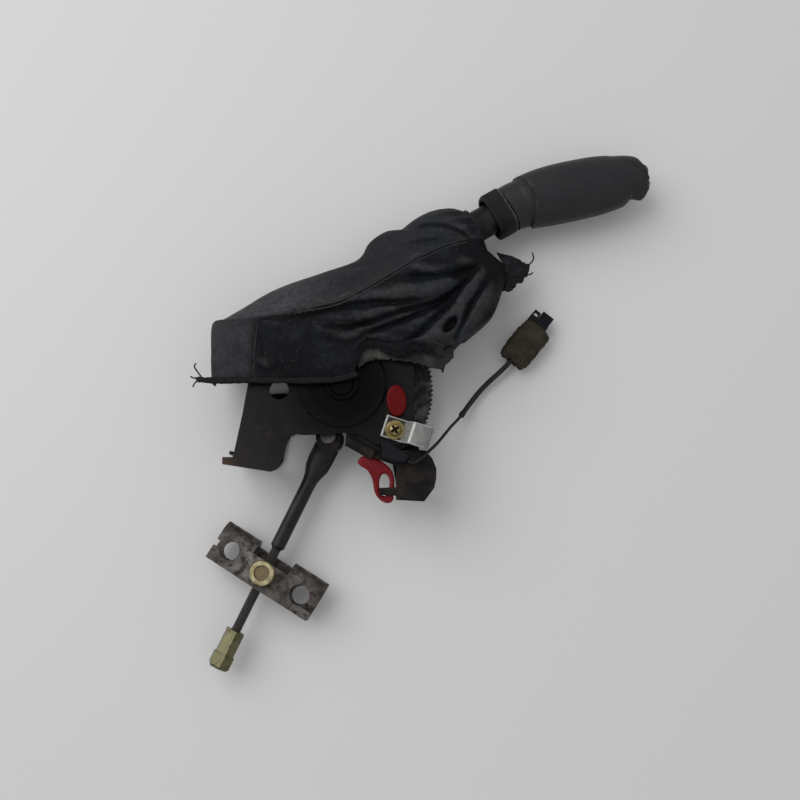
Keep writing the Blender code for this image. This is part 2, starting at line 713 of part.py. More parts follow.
def gaiter_relief(x, y, folds, panel):
    """Height of the folds, of the sloped upper panel and of the sloped band on the side that faces up.

    A fold is a sharp valley along its line with a rounded lip on its left.
    """
    height = 0.0
    for line, reach, lip, depth in folds:
        s, at = line_distance(x, y, line)
        fade = ease(at / FOLD_FADE[0]) * ease((1 - at) / FOLD_FADE[1])
        rise = max(0.0, s) / reach
        height += fade * (lip * rise * math.exp(1 - rise) - depth * math.exp(-abs(s) / VALLEY_WIDTH))
    above, _ = line_distance(x, y, panel)
    fall = PANEL_DROP * (1 - math.exp(-PANEL_SLOPE * max(0.0, above) / PANEL_DROP))
    height -= fall * (1 - (1 - PANEL_LEFT) * ease((x - PANEL_END[0]) / (PANEL_END[1] - PANEL_END[0])))
    band = 1 - ease((x - BAND_END[0]) / (BAND_END[1] - BAND_END[0]))
    return height - BAND_SLOPE * band * max(0.0, -above)


def gaiter_loop(ring, share, inset, folds, panel):
    """One closed loop of the gaiter, a rounded box at the hem that turns oval at the neck."""
    left_x, left_y, right_x, right_y, low, high, power = ring
    middle = Vector((left_x + right_x, left_y + right_y, low + high)) / 2
    half = Vector((right_x - left_x, right_y - left_y, 0.0)) / 2
    half *= 1 - inset / half.length
    tall = (high - low) / 2 - inset
    dense = []
    for k in range(LOOP_DETAIL + 1):
        angle = 2 * math.pi * k / LOOP_DETAIL
        upward = Vector((0.0, 0.0, tall * signed_power(math.sin(angle), power)))
        dense.append(middle + half * signed_power(math.cos(angle), power) + upward)
    turn = LOOP_DETAIL // 2
    loop = even_points(dense[:turn + 1], GAITER_NEAR) + even_points(dense[turn:], GAITER_FAR)
    torn = 1 - ease(share / TEAR_ENDS)
    lifted = HEM_LIFT * (1 - ease(share / HEM_LIFT_ENDS))
    relief = 1 - ease((share - NECK_FADE[0]) / (NECK_FADE[1] - NECK_FADE[0]))
    for point in loop:
        up = (point.z - middle.z) / tall
        facing = max(0.0, up) ** FACING_POWER
        point.z += relief * facing * gaiter_relief(point.x, point.y, folds, panel)
        near = min(1.0, max(0.0, 1 + up / NEAR_SIDE))
        far = min(1.0, max(0.0, -FACING_STEEP * up))
        point.y += max(near * torn * torn_off(point.x), far * lifted)
    return loop


def gaiter():
    """Leather gaiter: a folded sleeve open at its torn hem and at its neck."""
    folds = [(curve(line, LINE_STEPS + 1), reach, lip, depth) for line, reach, lip, depth in FOLDS]
    panel = curve(PANEL_EDGE, 2 * LINE_STEPS + 1)
    loops = curve(GAITER_RINGS, GAITER_ROWS)
    outer = []
    inner = []
    for i, ring in enumerate(loops):
        share = i / (GAITER_ROWS - 1)
        outer.append(gaiter_loop(ring, share, 0.0, folds, panel))
        inner.append(gaiter_loop(ring, share, GAITER_WALL, folds, panel))
    size = GAITER_NEAR + GAITER_FAR
    rings = outer + inner[::-1]
    points = [p for ring in rings for p in ring]
    faces = []
    for i in range(len(rings)):
        j = (i + 1) % len(rings)
        for k in range(size):
            n = (k + 1) % size
            faces.append((i * size + k, i * size + n, j * size + n, j * size + k))
    return mesh_from(points, faces)


def rod_point(distance, z=ROD_Z):
    """A point on the pull rod's axis, measured from the clevis pin."""
    return Vector((CLEVIS_AT[0] + ROD_DIR[0] * distance, CLEVIS_AT[1] + ROD_DIR[1] * distance, z))


def rod_frame(distance=0.0):
    return aimed(rod_point(distance), (*ROD_DIR, 0))


def pull_rod():
    """Eye on the clevis pin, flattened neck, thick rod and the threaded end."""
    steps = [(14.0, ROD_R), (ROD_SHOULDER, ROD_R), (ROD_SHOULDER + 1.2, THREAD_R + 0.4),
             (ROD_SHOULDER + 1.8, THREAD_R), (ROD_END - 1, THREAD_R), (ROD_END, THREAD_R - 1)]
    shank = place(rod_stack(steps, 20), rod_frame())
    across = Vector((-ROD_DIR[1], ROD_DIR[0]))
    centre = Vector(CLEVIS_AT)
    heading = Vector(ROD_DIR)
    neck = []
    for reach, half in ((2.0, 10.2), (16.0, 10.0), (27.0, 9.6), (36.0, 4.0)):
        neck.append((centre + heading * reach, half))
    sides = [spot + across * half for spot, half in neck]
    sides += [spot - across * half for spot, half in reversed(neck)]
    flat = prism([(p.x, p.y) for p in sides], ROD_Z - 3.4, ROD_Z + 3.4)
    eye = prism(circle(CLEVIS_AT, EYE_R), ROD_Z - EYE_HALF, ROD_Z + EYE_HALF)
    solid = join(shank, flat, eye)
    bore = CLEVIS_PIN_R + RUN
    return cut(solid, place(rod_stack([(0, bore), (50, bore)], 20), shifted(*CLEVIS_AT)))


def clevis_pin():
    low = MID - TUBE_R - GAP - CHEEK_T - 4.0
    near = MID + TUBE_R + GAP + CHEEK_T + GAP
    shape = rod_stack([(low, CLEVIS_PIN_R), (near, CLEVIS_PIN_R), (near, 6.2), (near + 2.0, 6.2),
                       (near + 2.6, 5.4)], 20)
    return place(shape, shifted(*CLEVIS_AT))


def pivot_pin(emboss):
    """Hinge pin from the far plate to its head on the pressed disc."""
    return rod_stack([(0.5, PIN_R), (emboss + GAP, PIN_R), (emboss + GAP, HEAD_R),
                      (emboss + HEAD_RISE - 0.5, HEAD_R), (emboss + HEAD_RISE, HEAD_R - 0.8)])


def washer(inner, outer, low, high, spot=(0.0, 0.0)):
    return place(turned([(inner, low), (outer, low), (outer, high), (inner, high)]), shifted(*spot))


def trunnion():
    """Cross bolt of the equalizer: the threaded rod goes through its barrel."""
    centre = rod_point(TRUNNION_AT, 0.0)
    head = TRUNNION_HEAD
    body = rod_stack([(9.0, TRUNNION_R - 0.8), (9.8, TRUNNION_R), (head, TRUNNION_R), (head, 9.8),
                      (head + 3.8, 9.8), (head + 4.8, 9.0), (head + 4.8, 6.0), (head + 3.0, 5.6)], 26)
    body = place(body, shifted(centre.x, centre.y))
    hole = place(rod_stack([(-30, THREAD_R + GAP), (30, THREAD_R + GAP)], 20), rod_frame(TRUNNION_AT))
    return cut(body, hole)


def equalizer_bar():
    """Sheet folded double: flat ends with cable seats, a bowed middle, rolled hems on the clevis side."""
    t = EQUALIZER_T
    low = EQUALIZER_LOW
    high = EQUALIZER_HIGH
    back = EQUALIZER_BACK

    def strip(start, stop, profile):
        return loft([[(along_x, w, z) for w, z in profile] for along_x in (start, stop)])

    outer = (high + t - low) / 2
    roll = (EQUALIZER_FRONT - outer, low + outer)
    fold = [(back, high + t)] + arc(roll, outer, 90, -90, 10) + [(back, low), (back, low + t)]
    fold += arc(roll, outer - t, -90, 90, 10) + [(back, high)]
    left = strip(-45.0, -15.0, fold)
    right = strip(17.0, 48.0, fold)
    bowed = []
    for x, lift in EQUALIZER_BOW:
        under = high + lift
        bowed.append([(x, back, under), (x, 9.0, under), (x, 9.0, under + t), (x, back, under + t)])
    far = strip(-20.0, 22.0, [(back, low), (15.0, low), (15.0, low + t), (back, low + t)])
    bar = join(left, loft(bowed), right, far)
    for x, slot_to, slot_w in CABLE_SEATS:
        hole = place(rod_stack([(0, SEAT_BACK_R), (ROD_Z, SEAT_BACK_R), (ROD_Z, SEAT_R), (60, SEAT_R)], 22),
                     shifted(x, 1.0))
        start, stop = sorted((x, slot_to))
        slot = prism([(start, slot_w - SLOT_HALF), (stop, slot_w - SLOT_HALF), (stop, slot_w + SLOT_HALF),
                      (start, slot_w + SLOT_HALF)], ROD_Z, 60.0)
        bar = cut(bar, hole, slot)
    bar = cut(bar, rod_stack([(0, TRUNNION_R + RUN), (60, TRUNNION_R + RUN)], 26))
    centre = rod_point(TRUNNION_AT, 0.0)
    return place(bar, shifted(centre.x, centre.y) @ Matrix.Rotation(math.radians(EQUALIZER_TILT), 4, "Z"))


def adjuster_nut():
    """Long nut: notched six-sided sleeve and a larger hexagon with a chamfered end."""

    def hexagon(radius):
        return arc((0, 0), radius, 15, 375, 6)[:-1]

    bore = circle((0, 0), THREAD_R + RUN, 24)
    sleeve = prism(hexagon(NUT_SLEEVE_R), NUT_FROM, NUT_HEX_FROM + 2, [bore])
    levels = ((NUT_HEX_FROM, NUT_HEX_R), (NUT_TO - NUT_CHAMFER, NUT_HEX_R), (NUT_TO, NUT_HEX_R - NUT_CHAMFER))
    head = loft([[(x, y, z) for x, y in hexagon(radius)] for z, radius in levels])
    notch = prism([(-12, -1.6), (12, -1.6), (12, 1.6), (-12, 1.6)], NUT_FROM - 1, NUT_FROM + 2.2)
    hole = rod_stack([(NUT_FROM - 1, THREAD_R + RUN), (NUT_TO + 1, THREAD_R + RUN)], 24)
    nut = cut(join(sleeve, head), notch, hole)
    return place(nut, aimed(rod_point(0.0), (*ROD_DIR, 0)))


def red_cap():
    """Oval plug pressed into the near plate."""
    tilt = Matrix.Rotation(math.radians(4), 4, "Z")
    top = prism(oval(*CAP_HALF, 28), NEAR_TOP + GAP, NEAR_TOP + CAP_RISE)
    stem = rod_stack([(NEAR_LOW - 2.5, CAP_STEM_R), (NEAR_TOP + 1.0, CAP_STEM_R)], 16)
    return place(join(top, stem), shifted(*CAP_AT) @ tilt)


def switch_place():
    (x, y), turn = SWITCH_FRAME
    return shifted(x, y) @ Matrix.Rotation(math.radians(turn), 4, "Z")


def switch_bracket():
    """Bent plate: a foot under the screw, a sloped riser and a raised cover."""
    low = NEAR_TOP + GAP
    t = SWITCH_SHEET
    rise = 8.0
    foot = 10.0
    top = 14.6
    end = 27.0
    profile = [(-8.3, low), (foot, low), (top, low + rise), (end, low + rise), (end, low + 1.0),
               (end + t, low + 1.0), (end + t, low + rise + t), (top - 0.6, low + rise + t),
               (foot - 0.6, low + t), (-8.3, low + t)]
    rings = [[(u, v, z) for u, z in profile] for v in (-8.8, 8.8)]
    body = place(loft(rings), switch_place())
    return cut(body, place(rod_stack([(40, SCREW_BORE), (62, SCREW_BORE)], 16), shifted(*SWITCH_SCREW_AT)))


def switch_body():
    """Dark moulded body of the warning-lamp switch, beside its bracket."""
    outline = rounded([(29.5, -47.5), (36.0, -45.6), (53.0, -57.4), (48.2, -62.4), (31.0, -58.5)], 1.6, 2)
    low = NEAR_TOP + GAP
    body = prism(outline, low, low + 6.0)
    return cut(body, place(rod_stack([(0, 2.3), (20, 2.3)], 16), aimed(PLUNGER_FROM, PLUNGER_DIR)))


def switch_plunger():
    shape = rod_stack([(7.0, 2.0), (17.0, 2.0), (18.0, 1.3)], 16)
    return place(shape, aimed(PLUNGER_FROM, PLUNGER_DIR))


def switch_spring():
    """Return spring behind the plunger, drawn as its sleeve."""
    shape = turned([(1.0, 0.6), (1.9, 0.6), (1.9, 6.4), (1.0, 6.4)], 14)
    return place(shape, aimed(PLUNGER_FROM, PLUNGER_DIR))


def switch_screw():
    top = NEAR_TOP + GAP + SWITCH_SHEET + GAP + WASHER_T + GAP
    steps = [(NEAR_LOW - 7.0, 2.0), (NEAR_LOW - 6.4, SCREW_R), (top, SCREW_R), (top, SCREW_HEAD_R),
             (top + 1.4, 4.8), (top + 2.4, 3.8), (top + 2.9, 2.0)]
    return place(rod_stack(steps, 20), shifted(*SWITCH_SCREW_AT))


def red_clip():
    """Plastic clip hooked on the front foot's tab: a nose and a long loop."""
    outline = [(11.4, -59.7), (15.0, -55.8), (19.5, -54.8), (25.0, -57.0), (31.0, -59.5), (37.0, -64.0),
               (40.6, -70.5), (41.0, -78.0), (39.6, -84.0), (40.6, -90.5), (35.0, -92.6), (28.6, -89.0),
               (25.0, -83.0), (24.0, -74.0), (20.0, -66.0), (14.0, -63.0)]
    loop = [(31.0, -69.0), (35.0, -69.5), (37.2, -74.0), (36.4, -84.0), (33.0, -87.6), (29.6, -84.0),
            (28.8, -75.0)]
    top = NEAR_LOW - GAP - SHEET - GAP
    return prism(rounded(outline, 3.0, 2), top - 6.0, top, [rounded(loop, 2.0, 2)])


def foam_wrap():
    """Foam strip wound round the plug connector."""
    start = Vector(SLEEVE_ROUTE[-1]) + Vector(FOAM_DIR) * GAP
    steps = [(0.0, 6.4), (2.4, 9.2), (8.0, 10.6), (18.0, 10.9), (27.0, 10.6), (33.0, 9.4), (FOAM_LENGTH, 7.4)]
    return place(rod_stack(steps, 22), aimed(start, FOAM_DIR))


def connector():
    """Plug connector that sticks out of the foam: a housing with a window and a latch tab."""
    start = Vector(SLEEVE_ROUTE[-1]) + Vector(FOAM_DIR) * (2 * GAP + FOAM_LENGTH)
    body = prism([(-7.0, -4.6), (7.0, -4.6), (7.0, 4.6), (-7.0, 4.6)], 0.0, 11.0)
    window = prism([(-5.2, -3.0), (-0.6, -3.0), (-0.6, 3.0), (-5.2, 3.0)], 3.0, 20.0)
    return place(cut(body, window), aimed(start, FOAM_DIR))


def build():
    clear_scene()
    assembly = bpy.data.objects.new("assembly", None)
    assembly.location = (PIVOT[0] * MM, PIVOT[1] * MM, 0)
    bpy.context.collection.objects.link(assembly)
    near_cheek = MID + TUBE_R + GAP
    far_cheek = MID - TUBE_R - GAP - CHEEK_T
    emboss = NEAR_TOP + EMBOSS_RISE
    under_foot = NEAR_LOW - SHEET - 2 * GAP
    on_bracket = NEAR_TOP + GAP + SWITCH_SHEET + GAP
    black = plastic("black_plastic", (0.02, 0.02, 0.021))
    charcoal = plastic("charcoal_grip", (0.045, 0.046, 0.05))
    crimson = plastic("red_plastic", (0.35, 0.01, 0.02))
    raw = steel("rusty_steel", (0.2, 0.17, 0.15))
    leather = finish("leather", (0.022, 0.023, 0.027), 0.6, 0.0)
    foam = finish("foam", (0.09, 0.075, 0.05), 0.95, 0.0)
    pieces = [
        add_object("near_bracket_plate", near_plate(), paint(), 35),
        add_object("far_bracket_plate", far_plate(), paint()),
        add_object("rear_foot_base", foot_base(*REAR_BASE, NEAR_LOW - GAP, REAR_BOLTS), paint()),
        add_object("front_foot_base", foot_base(*FRONT_BASE, under_foot, ()), paint()),
        add_object("front_foot", front_foot(), paint(), 35),
        add_object("ratchet_sector", sector(), steel()),
        add_object("sector_pin_upper", sector_pin(*SECTOR_PIN_UPPER, NEAR_LOW - GAP), steel(), 35),
        add_object("sector_pin_lower", sector_pin(*SECTOR_PIN_LOWER, under_foot), steel(), 35),
        add_object("red_cap", red_cap(), crimson, 35),
        add_object("red_clip", red_clip(), crimson, 35),
        add_object("switch_bracket", switch_bracket(), zinc_bright()),
        add_object("switch_body", switch_body(), black),
        add_object("switch_plunger", switch_plunger(), black, 35),
        add_object("switch_spring", switch_spring(), steel(), 35),
        add_object("switch_screw", switch_screw(), zinc_yellow(), 35),
        add_object("switch_washer", washer(SCREW_BORE, WASHER_R, on_bracket, on_bracket + WASHER_T,
                                           SWITCH_SCREW_AT), zinc_yellow(), 35),
        add_object("pivot_pin", pivot_pin(emboss), steel(), 35),
        add_object("pivot_boss", washer(HEAD_R + GAP, BOSS_R, emboss + GAP, emboss + BOSS_RISE), paint(), 35),
        add_object("pivot_clip", washer(PIN_R + RUN, 9.0, FAR_TOP + GAP, FAR_TOP + 1.5), steel(), 35),
        add_object("pivot_bush_near", washer(PIN_R + RUN, 9.5, MID + SECTOR_T / 2 + GAP, near_cheek - GAP),
                   steel(), 35),
        add_object("pivot_bush_far", washer(PIN_R + RUN, 9.5, far_cheek + CHEEK_T + GAP,
                                            MID - SECTOR_T / 2 - GAP), steel(), 35),
        add_object("lever_cheek_near", cheek(near_cheek), paint()),
        add_object("lever_cheek_far", cheek(far_cheek), paint()),
        add_object("lever_tube", lever_tube(), paint(), 35),
        add_object("grip_collar", grip_collar(), charcoal, 35),
        add_object("grip", grip(), charcoal, 45),
        add_object("release_button", release_button(), charcoal, 35),
        add_object("release_rod", release_rod(), steel(), 35),
        add_object("button_spring", button_spring(), steel(), 35),
        add_object("pawl", pawl(), steel()),
        add_object("gaiter", gaiter(), leather, 60),
        add_object("pull_rod", pull_rod(), steel(), 35),
        add_object("clevis_pin", clevis_pin(), steel(), 35),
        add_object("clevis_spacer", washer(CLEVIS_PIN_R + RUN, 7.0, ROD_Z + EYE_HALF + GAP, near_cheek - GAP,
                                           CLEVIS_AT), steel(), 35),
        add_object("clevis_clip", washer(CLEVIS_PIN_R + RUN, 7.2, far_cheek - 2.6, far_cheek - GAP, CLEVIS_AT),
                   steel(), 35),
        add_object("trunnion", trunnion(), zinc_yellow(), 35),
        add_object("equalizer_bar", equalizer_bar(), raw, 35),
        add_object("adjuster_nut", adjuster_nut(), zinc_yellow(), 35),
        add_object("pawl_pin", pawl_pin(far_cheek, near_cheek + CHEEK_T), steel(), 35),
        add_object("foam_wrap", foam_wrap(), foam, 50),
        add_object("connector", connector(), black),
    ]
    for number, spot in enumerate(LEVER_RIVETS, start=1):
        low = far_cheek - GAP
        high = near_cheek + CHEEK_T + GAP
        shape = rod_stack([(low - 1.5, 4.6), (low, 5.2), (low, RIVET_R), (high + 1.0, RIVET_R)], 16)
        pieces.append(add_object(f"lever_rivet_{number}", place(shape, shifted(*spot)), steel(), 35))
    lead = smooth_route(LEAD_ROUTE, 2.5 * WIRE_D)
    sleeve = smooth_route(SLEEVE_ROUTE, 2.2 * SLEEVE_D)
    pieces.append(tube_along("switch_lead", lead, WIRE_D, black))
    pieces.append(tube_along("lead_sleeve", sleeve, SLEEVE_D, black))
    for piece in pieces:
        piece.parent = assembly


build()
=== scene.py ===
"""Looks of a car's parking-brake lever assembly, lying on its side on a pale table.

Every place is given in the lever's own frame, in millimetres: its origin is the
hinge axis on the table, +X runs to the right of the picture, +Y to its top and
+Z up from the table. spot() turns such places into metres in the frame of the
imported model.
"""
import math

import bmesh
import bpy
import numpy as np
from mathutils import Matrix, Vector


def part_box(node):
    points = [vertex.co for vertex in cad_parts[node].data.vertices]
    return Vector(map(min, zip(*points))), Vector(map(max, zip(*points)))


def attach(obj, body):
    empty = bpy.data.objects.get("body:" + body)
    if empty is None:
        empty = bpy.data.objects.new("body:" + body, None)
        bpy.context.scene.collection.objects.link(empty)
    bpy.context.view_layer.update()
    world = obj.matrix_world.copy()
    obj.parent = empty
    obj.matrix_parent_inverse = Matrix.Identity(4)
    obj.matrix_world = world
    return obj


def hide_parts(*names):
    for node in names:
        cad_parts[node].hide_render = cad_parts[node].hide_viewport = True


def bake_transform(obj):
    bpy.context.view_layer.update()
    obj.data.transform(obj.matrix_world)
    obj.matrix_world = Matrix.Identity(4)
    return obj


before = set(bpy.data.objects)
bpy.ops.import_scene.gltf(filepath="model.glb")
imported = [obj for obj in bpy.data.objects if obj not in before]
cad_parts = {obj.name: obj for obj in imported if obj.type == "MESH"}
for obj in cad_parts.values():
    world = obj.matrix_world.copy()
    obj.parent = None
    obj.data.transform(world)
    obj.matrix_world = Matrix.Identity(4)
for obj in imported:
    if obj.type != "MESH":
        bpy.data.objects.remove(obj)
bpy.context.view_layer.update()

MM = 0.001
PIN_LOW, PIN_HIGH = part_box("pivot_pin")
HINGE = np.array([(PIN_LOW.x + PIN_HIGH.x) / 2, (PIN_LOW.y + PIN_HIGH.y) / 2, 0.0])
MID = 27.0                      # middle plane of the lever tube and the grip

# Camera and light
CAMERA_TARGET = (45.1, -3.1, 0.0)
CAMERA_DISTANCE = 850.0
CAMERA_ELEVATION = 80.0         # degrees
CAMERA_LENS = 46.1              # mm on a 36 mm sensor
FLOOR_COLOUR = (0.588, 0.583, 0.583)
FLOOR_SIZE = 6.0                # metres
WORLD_STRENGTH = 0.62
KEY_PLACE = (-1.25, 0.95, 1.75)   # metres
KEY_SIZE = 2.4
KEY_POWER = 32.0

# Tone of the bracket, by distance from the hinge
DARKENING_REACH = (24.0, 52.0)     # where the darkening round the hinge thins out
BROWNING_REACH = (62.0, 100.0)       # where the lighter brown begins and is whole
RUST_REACH = (99.0, 112.0)      # the same for rust

# Hand grip: centre x, centre y, half width, half thickness
GRIP_SECTIONS = (
    (134.6, 152.4, 20.3, 16.9), (138.9, 154.9, 20.7, 17.1), (146.0, 157.6, 21.4, 17.4), (150.0, 159.0, 22.6, 18.0),
    (163.0, 162.8, 24.4, 18.4), (178.0, 166.6, 25.2, 18.4), (194.0, 170.2, 25.2, 18.0),
    (209.0, 173.6, 24.6, 17.4), (222.0, 176.4, 22.8, 16.6), (231.0, 178.6, 20.2, 15.8),
    (238.0, 177.7, 19.9, 14.6), (244.0, 175.4, 17.2, 13.0), (249.0, 171.6, 11.6, 9.4),
    (252.0, 171.4, 6.0, 4.6),
)
GRIP_BORE = 13.4
GRIP_STEP_AT = 146.0            # the neck of the moulding ends here at its sides
GRIP_STEP_BULGE = 9.0           # and this much further on along its middle
GRIP_STEP_DEPTH = 0.055         # share of the radius
GRIP_TIP = (                    # outline of the tip: how far it reaches along X at each Y
    (152.0, 233.0), (158.6, 238.0), (160.2, 243.0), (161.5, 245.8), (163.4, 248.4),
    (169.0, 252.0), (174.4, 253.2), (177.0, 252.6), (181.9, 251.0),
    (186.0, 249.4), (193.3, 243.9), (197.0, 239.5), (200.0, 233.0),
)
GRIP_CREASES = (                # as the gaiter's folds: line, reach, lip, depth
    (((224, 190), (236, 186), (246, 180), (251, 176)), 7.0, 0.6, 1.3),
    (((229, 154), (236, 162), (243, 169), (247, 178)), 6.0, 0.5, 1.6),
)
BUTTON_AT = (241.5, 184.6)
BUTTON_DIR = (0.966, 0.26)
BUTTON_WELL = 6.5
BUTTON_MOUTH = (6.5, 8.4)        # how far out the well widens, and to what radius

# Springs: node, start, direction, reach along it, radius, wire, turns, body at its start and at its end
PLUNGER_Z = 57.3
SPRINGS = (
    ("button_spring", (*BUTTON_AT, MID), (*BUTTON_DIR, 0.0), (-29.4, -10.6), 4.4, 0.6, 8, "lever", "button"),
    ("switch_spring", (42.5, -55.5, PLUNGER_Z), (-0.95, 0.3, 0.0), (1.0, 6.0), 1.45, 0.35, 6, "base",
     "plunger"),
)

# Collar below the grip
COLLAR_AT = (126.5, 148.3)
TUBE_SLOPE = math.radians(30.4)
COLLAR_HALF = (19.6, 17.0)

# Gaiter: left edge x, y, right edge x, y, low and high side, how square the loop is
GAITER_RINGS = (
    (-103.0, 2.0, 80.0, 4.0, 3.6, 65.0, 0.28), (-103.5, 24.0, 84.0, 21.0, 3.6, 66.5, 0.28),
    (-103.0, 47.0, 95.0, 38.0, 3.4, 67.5, 0.30), (-96.0, 52.0, 101.0, 43.0, 3.5, 67.0, 0.40),
    (-82.0, 62.5, 110.0, 50.0, 3.6, 66.0, 0.5),
    (-56.0, 80.0, 120.0, 60.0, 4.0, 64.5, 0.6), (-18.0, 95.0, 126.0, 74.0, 4.4, 62.5, 0.7),
    (10.0, 106.5, 130.0, 88.0, 5.0, 60.0, 0.8), (20.0, 122.0, 131.0, 96.0, 5.6, 58.0, 0.85),
    (33.0, 131.5, 130.0, 101.0, 6.0, 56.5, 0.85), (45.0, 133.0, 127.0, 104.0, 6.0, 55.0, 0.85),
    (56.0, 141.5, 123.0, 107.0, 5.8, 53.0, 0.85), (70.0, 149.0, 119.0, 110.0, 6.2, 50.5, 0.9),
    (85.0, 152.0, 117.0, 116.0, 8.0, 46.0, 0.95), (98.2, 149.6, 113.8, 122.8, 11.6, 42.4, 1.0),
)
GAITER_ROWS = 150
GAITER_NEAR = 150               # columns over the side that faces up
GAITER_FAR = 60                 # columns over the side that lies on the table
GAITER_WALL = 1.4
FAR_HEM_LIFT = 20.0             # the far side's hem lies this much higher up the lever
NEAR_SIDE = 0.35                # how far down its sides the torn hem of the near side runs on
HEM_TEAR = (
    (-110.0, 0.0), (2.0, 0.0), (9.0, 4.0), (16.0, 22.0), (24.0, 25.0), (34.0, 19.0), (46.0, 16.0), (56.0, 21.0),
    (68.0, 18.0), (80.0, 15.0), (92.0, 10.0),
)
PANEL_EDGE = ((-112, 48), (-75, 49), (-38, 55), (-3, 62), (18, 72), (36, 84), (51, 94), (69, 104), (85, 112),
              (104, 119))
PANEL_SLOPE = 0.60              # fall of the upper panel away from its ridge and seam
PANEL_DROP = 13.0               # and the most that it falls
PANEL_END = (25.0, 75.0)        # towards the neck the fall eases off between these two places along X
PANEL_LEFT = 0.3                # to this share
NECK_FADE = (0.84, 0.97)        # shares of the rows between which the relief dies out at the neck
BAND_SLOPE = 0.11               # fall of the band from the ridge to the hem
BAND_END = (-20.0, 60.0)        # the band runs out between these two places along X
TEAR_HOLE = ((84.0, 45.0), 52.0, (8.0, 3.6), 8.0)  # middle, degrees from +X, half sizes, depth

# Folds of the gaiter: line, reach and height of the lip on its left, depth of the valley
FOLDS = (
    (((-51, 47), (-12, 57), (17, 61), (45, 62), (78, 68)), 8.0, 3.2, 5.0),
    (((-19, 43), (11, 44), (45, 55), (72, 64), (97, 79)), 7.0, 3.6, 4.6),
    (((10, 35), (38, 45), (65, 57), (96, 80)), 8.0, 3.4, 5.2),
    (((46, 84), (66, 84), (84, 87), (110, 96)), 9.0, 3.0, 6.5),
    (((112, 102), (96, 80), (80, 58), (64, 41), (46, 22)), 9.0, 4.2, 6.0),
    (((122, 94), (105, 68), (94, 46), (86, 30)), 7.0, 3.4, 5.0),
    (((54, 130), (72, 131), (88, 127), (106, 118)), 6.0, 2.6, 4.4),
    (((84, 146), (98, 138), (108, 126)), 5.0, 1.8, 3.0),
    (((44, 112), (70, 116), (104, 114)), 8.0, 2.0, 2.4),
    (((-34, 38), (0, 30), (22, 34)), 9.0, 1.2, 2.0),
    (((-4, 96), (26, 100), (50, 110)), 10.0, 1.6, 1.6),
    (((-84, 30), (-70, 18), (-62, 6)), 6.0, 1.0, 1.4),
)
SEAM = ((-38, 55), (-3, 62), (18, 72), (36, 84), (51, 94), (69, 104), (85, 112), (99, 117))
BAND_SEAM = ((-66, 46), (-68, 26), (-69, 7))
WELTS = (                       # line, distance to its left, half width, half thickness, how rubbed it is (the greying is wear and painted highlight)
    (SEAM, 1.25, 0.75, 0.55, 0.75), (SEAM, -1.25, 0.75, 0.5, 0.5),
    (BAND_SEAM, 1.0, 0.6, 0.45, 0.4), (BAND_SEAM, -0.8, 0.5, 0.4, 0.2),
    (((-100, 48), (-75, 49), (-56, 52), (-38, 55)), 0.0, 0.8, 0.6, 0.6),
)
STITCH_PITCH = 3.6
STITCH_LENGTH = 2.5
STITCH_RADIUS = 0.42
STITCH_OFFSET = 2.3             # each row of stitches from the seam
HEM_ROUTE = (
    (-114.5, 5.0, 50.5), (-110.5, 3.4, 55.0), (-104.0, 2.2, 58.4), (-93.0, 1.4, 60.4), (-65.0, 1.8, 60.8),
    (-40.0, 1.4, 60.8), (-20.0, 1.6, 60.9), (-4.0, 2.4, 61.0), (12.0, 6.6, 61.0),
)
HEM_HALF = (2.4, 1.2)           # half width and half thickness of the turned hem
LINING_LOW = ((13, 12), (20, 17), (33, 19), (46, 18), (60, 15), (74, 11), (80, 14), (86, 20))
LINING_HIGH = ((12, 22), (18, 40), (30, 42), (42, 40), (58, 38), (74, 34), (82, 33), (88, 30))
LINING_Z = (58.4, 58.8)         # its lower and its upper edge
TAB_ROOT = ((124.0, 113.0, 34.0), (128.0, 103.0, 36.0), (129.0, 92.0, 35.0), (127.0, 80.0, 32.0))
TAB_EDGE = ((131.0, 110.0, 33.0), (149.0, 106.0, 30.0), (148.0, 93.0, 28.0), (133.0, 82.0, 28.0))
FRAYED_THREADS = (
    ((-109, 5, 58), (-112, 9, 60), (-114, 12.5, 61), (-112.5, 15, 61.5)),
    ((-112, 5, 54), (-116, 5, 53), (-118.5, 6.5, 52)),
    ((-112, 3.6, 52), (-115, 1.5, 51), (-117, -1.5, 50)),
    ((146, 103, 30), (151, 104, 32), (154, 108, 34), (153, 113, 35)),
    ((147, 97, 29), (151, 96, 29), (154, 98, 28)),
)
FRAY_RADIUS = 0.6

# Pull rod
CLEVIS_AT = (-11.0, -39.6)
ROD_Z = 20.0
ROD_DIR = (-0.4327, -0.9015)
ROD_R = 5.7
THREAD_R = 4.0
THREAD_PITCH = 1.25
THREAD_DEPTH = 0.7
ROD_SHOULDER = 94.0
ROD_END = 194.0
ROD_EYE = 11.0
CLEVIS_BORE = 4.1

# Switch lead, repeated from the part's source
WIRE_D = 2.4
SLEEVE_D = 4.2
LEAD_ROUTE = (
    (51.1, -60.4, 57.4), (55.0, -62.0, 57.2), (60.6, -59.2, 56.6), (67.0, -53.0, 54.0), (74.0, -45.6, 47.6),
    (80.5, -37.0, 37.6), (86.0, -29.4, 27.6), (91.0, -23.4, 19.6), (95.0, -18.4, 14.6),
)
SLEEVE_ROUTE = (
    (95.3, -18.0, 14.2), (99.6, -11.8, 10.6), (105.0, -4.4, 8.4), (111.0, 3.0, 7.6), (118.0, 10.2, 8.0),
    (125.4, 16.8, 9.0), (132.0, 23.0, 10.2), (136.6, 28.0, 10.9),
)
FOAM_DIR = (0.64, 0.768, 0.0)
FOAM_STEPS = ((0.0, 8.2), (1.2, 10.0), (6.0, 10.8), (18.0, 11.0), (29.0, 10.8), (34.2, 10.0), (35.6, 8.2))
FOAM_LAP = 1.4                  # step of the wound strip's outer edge
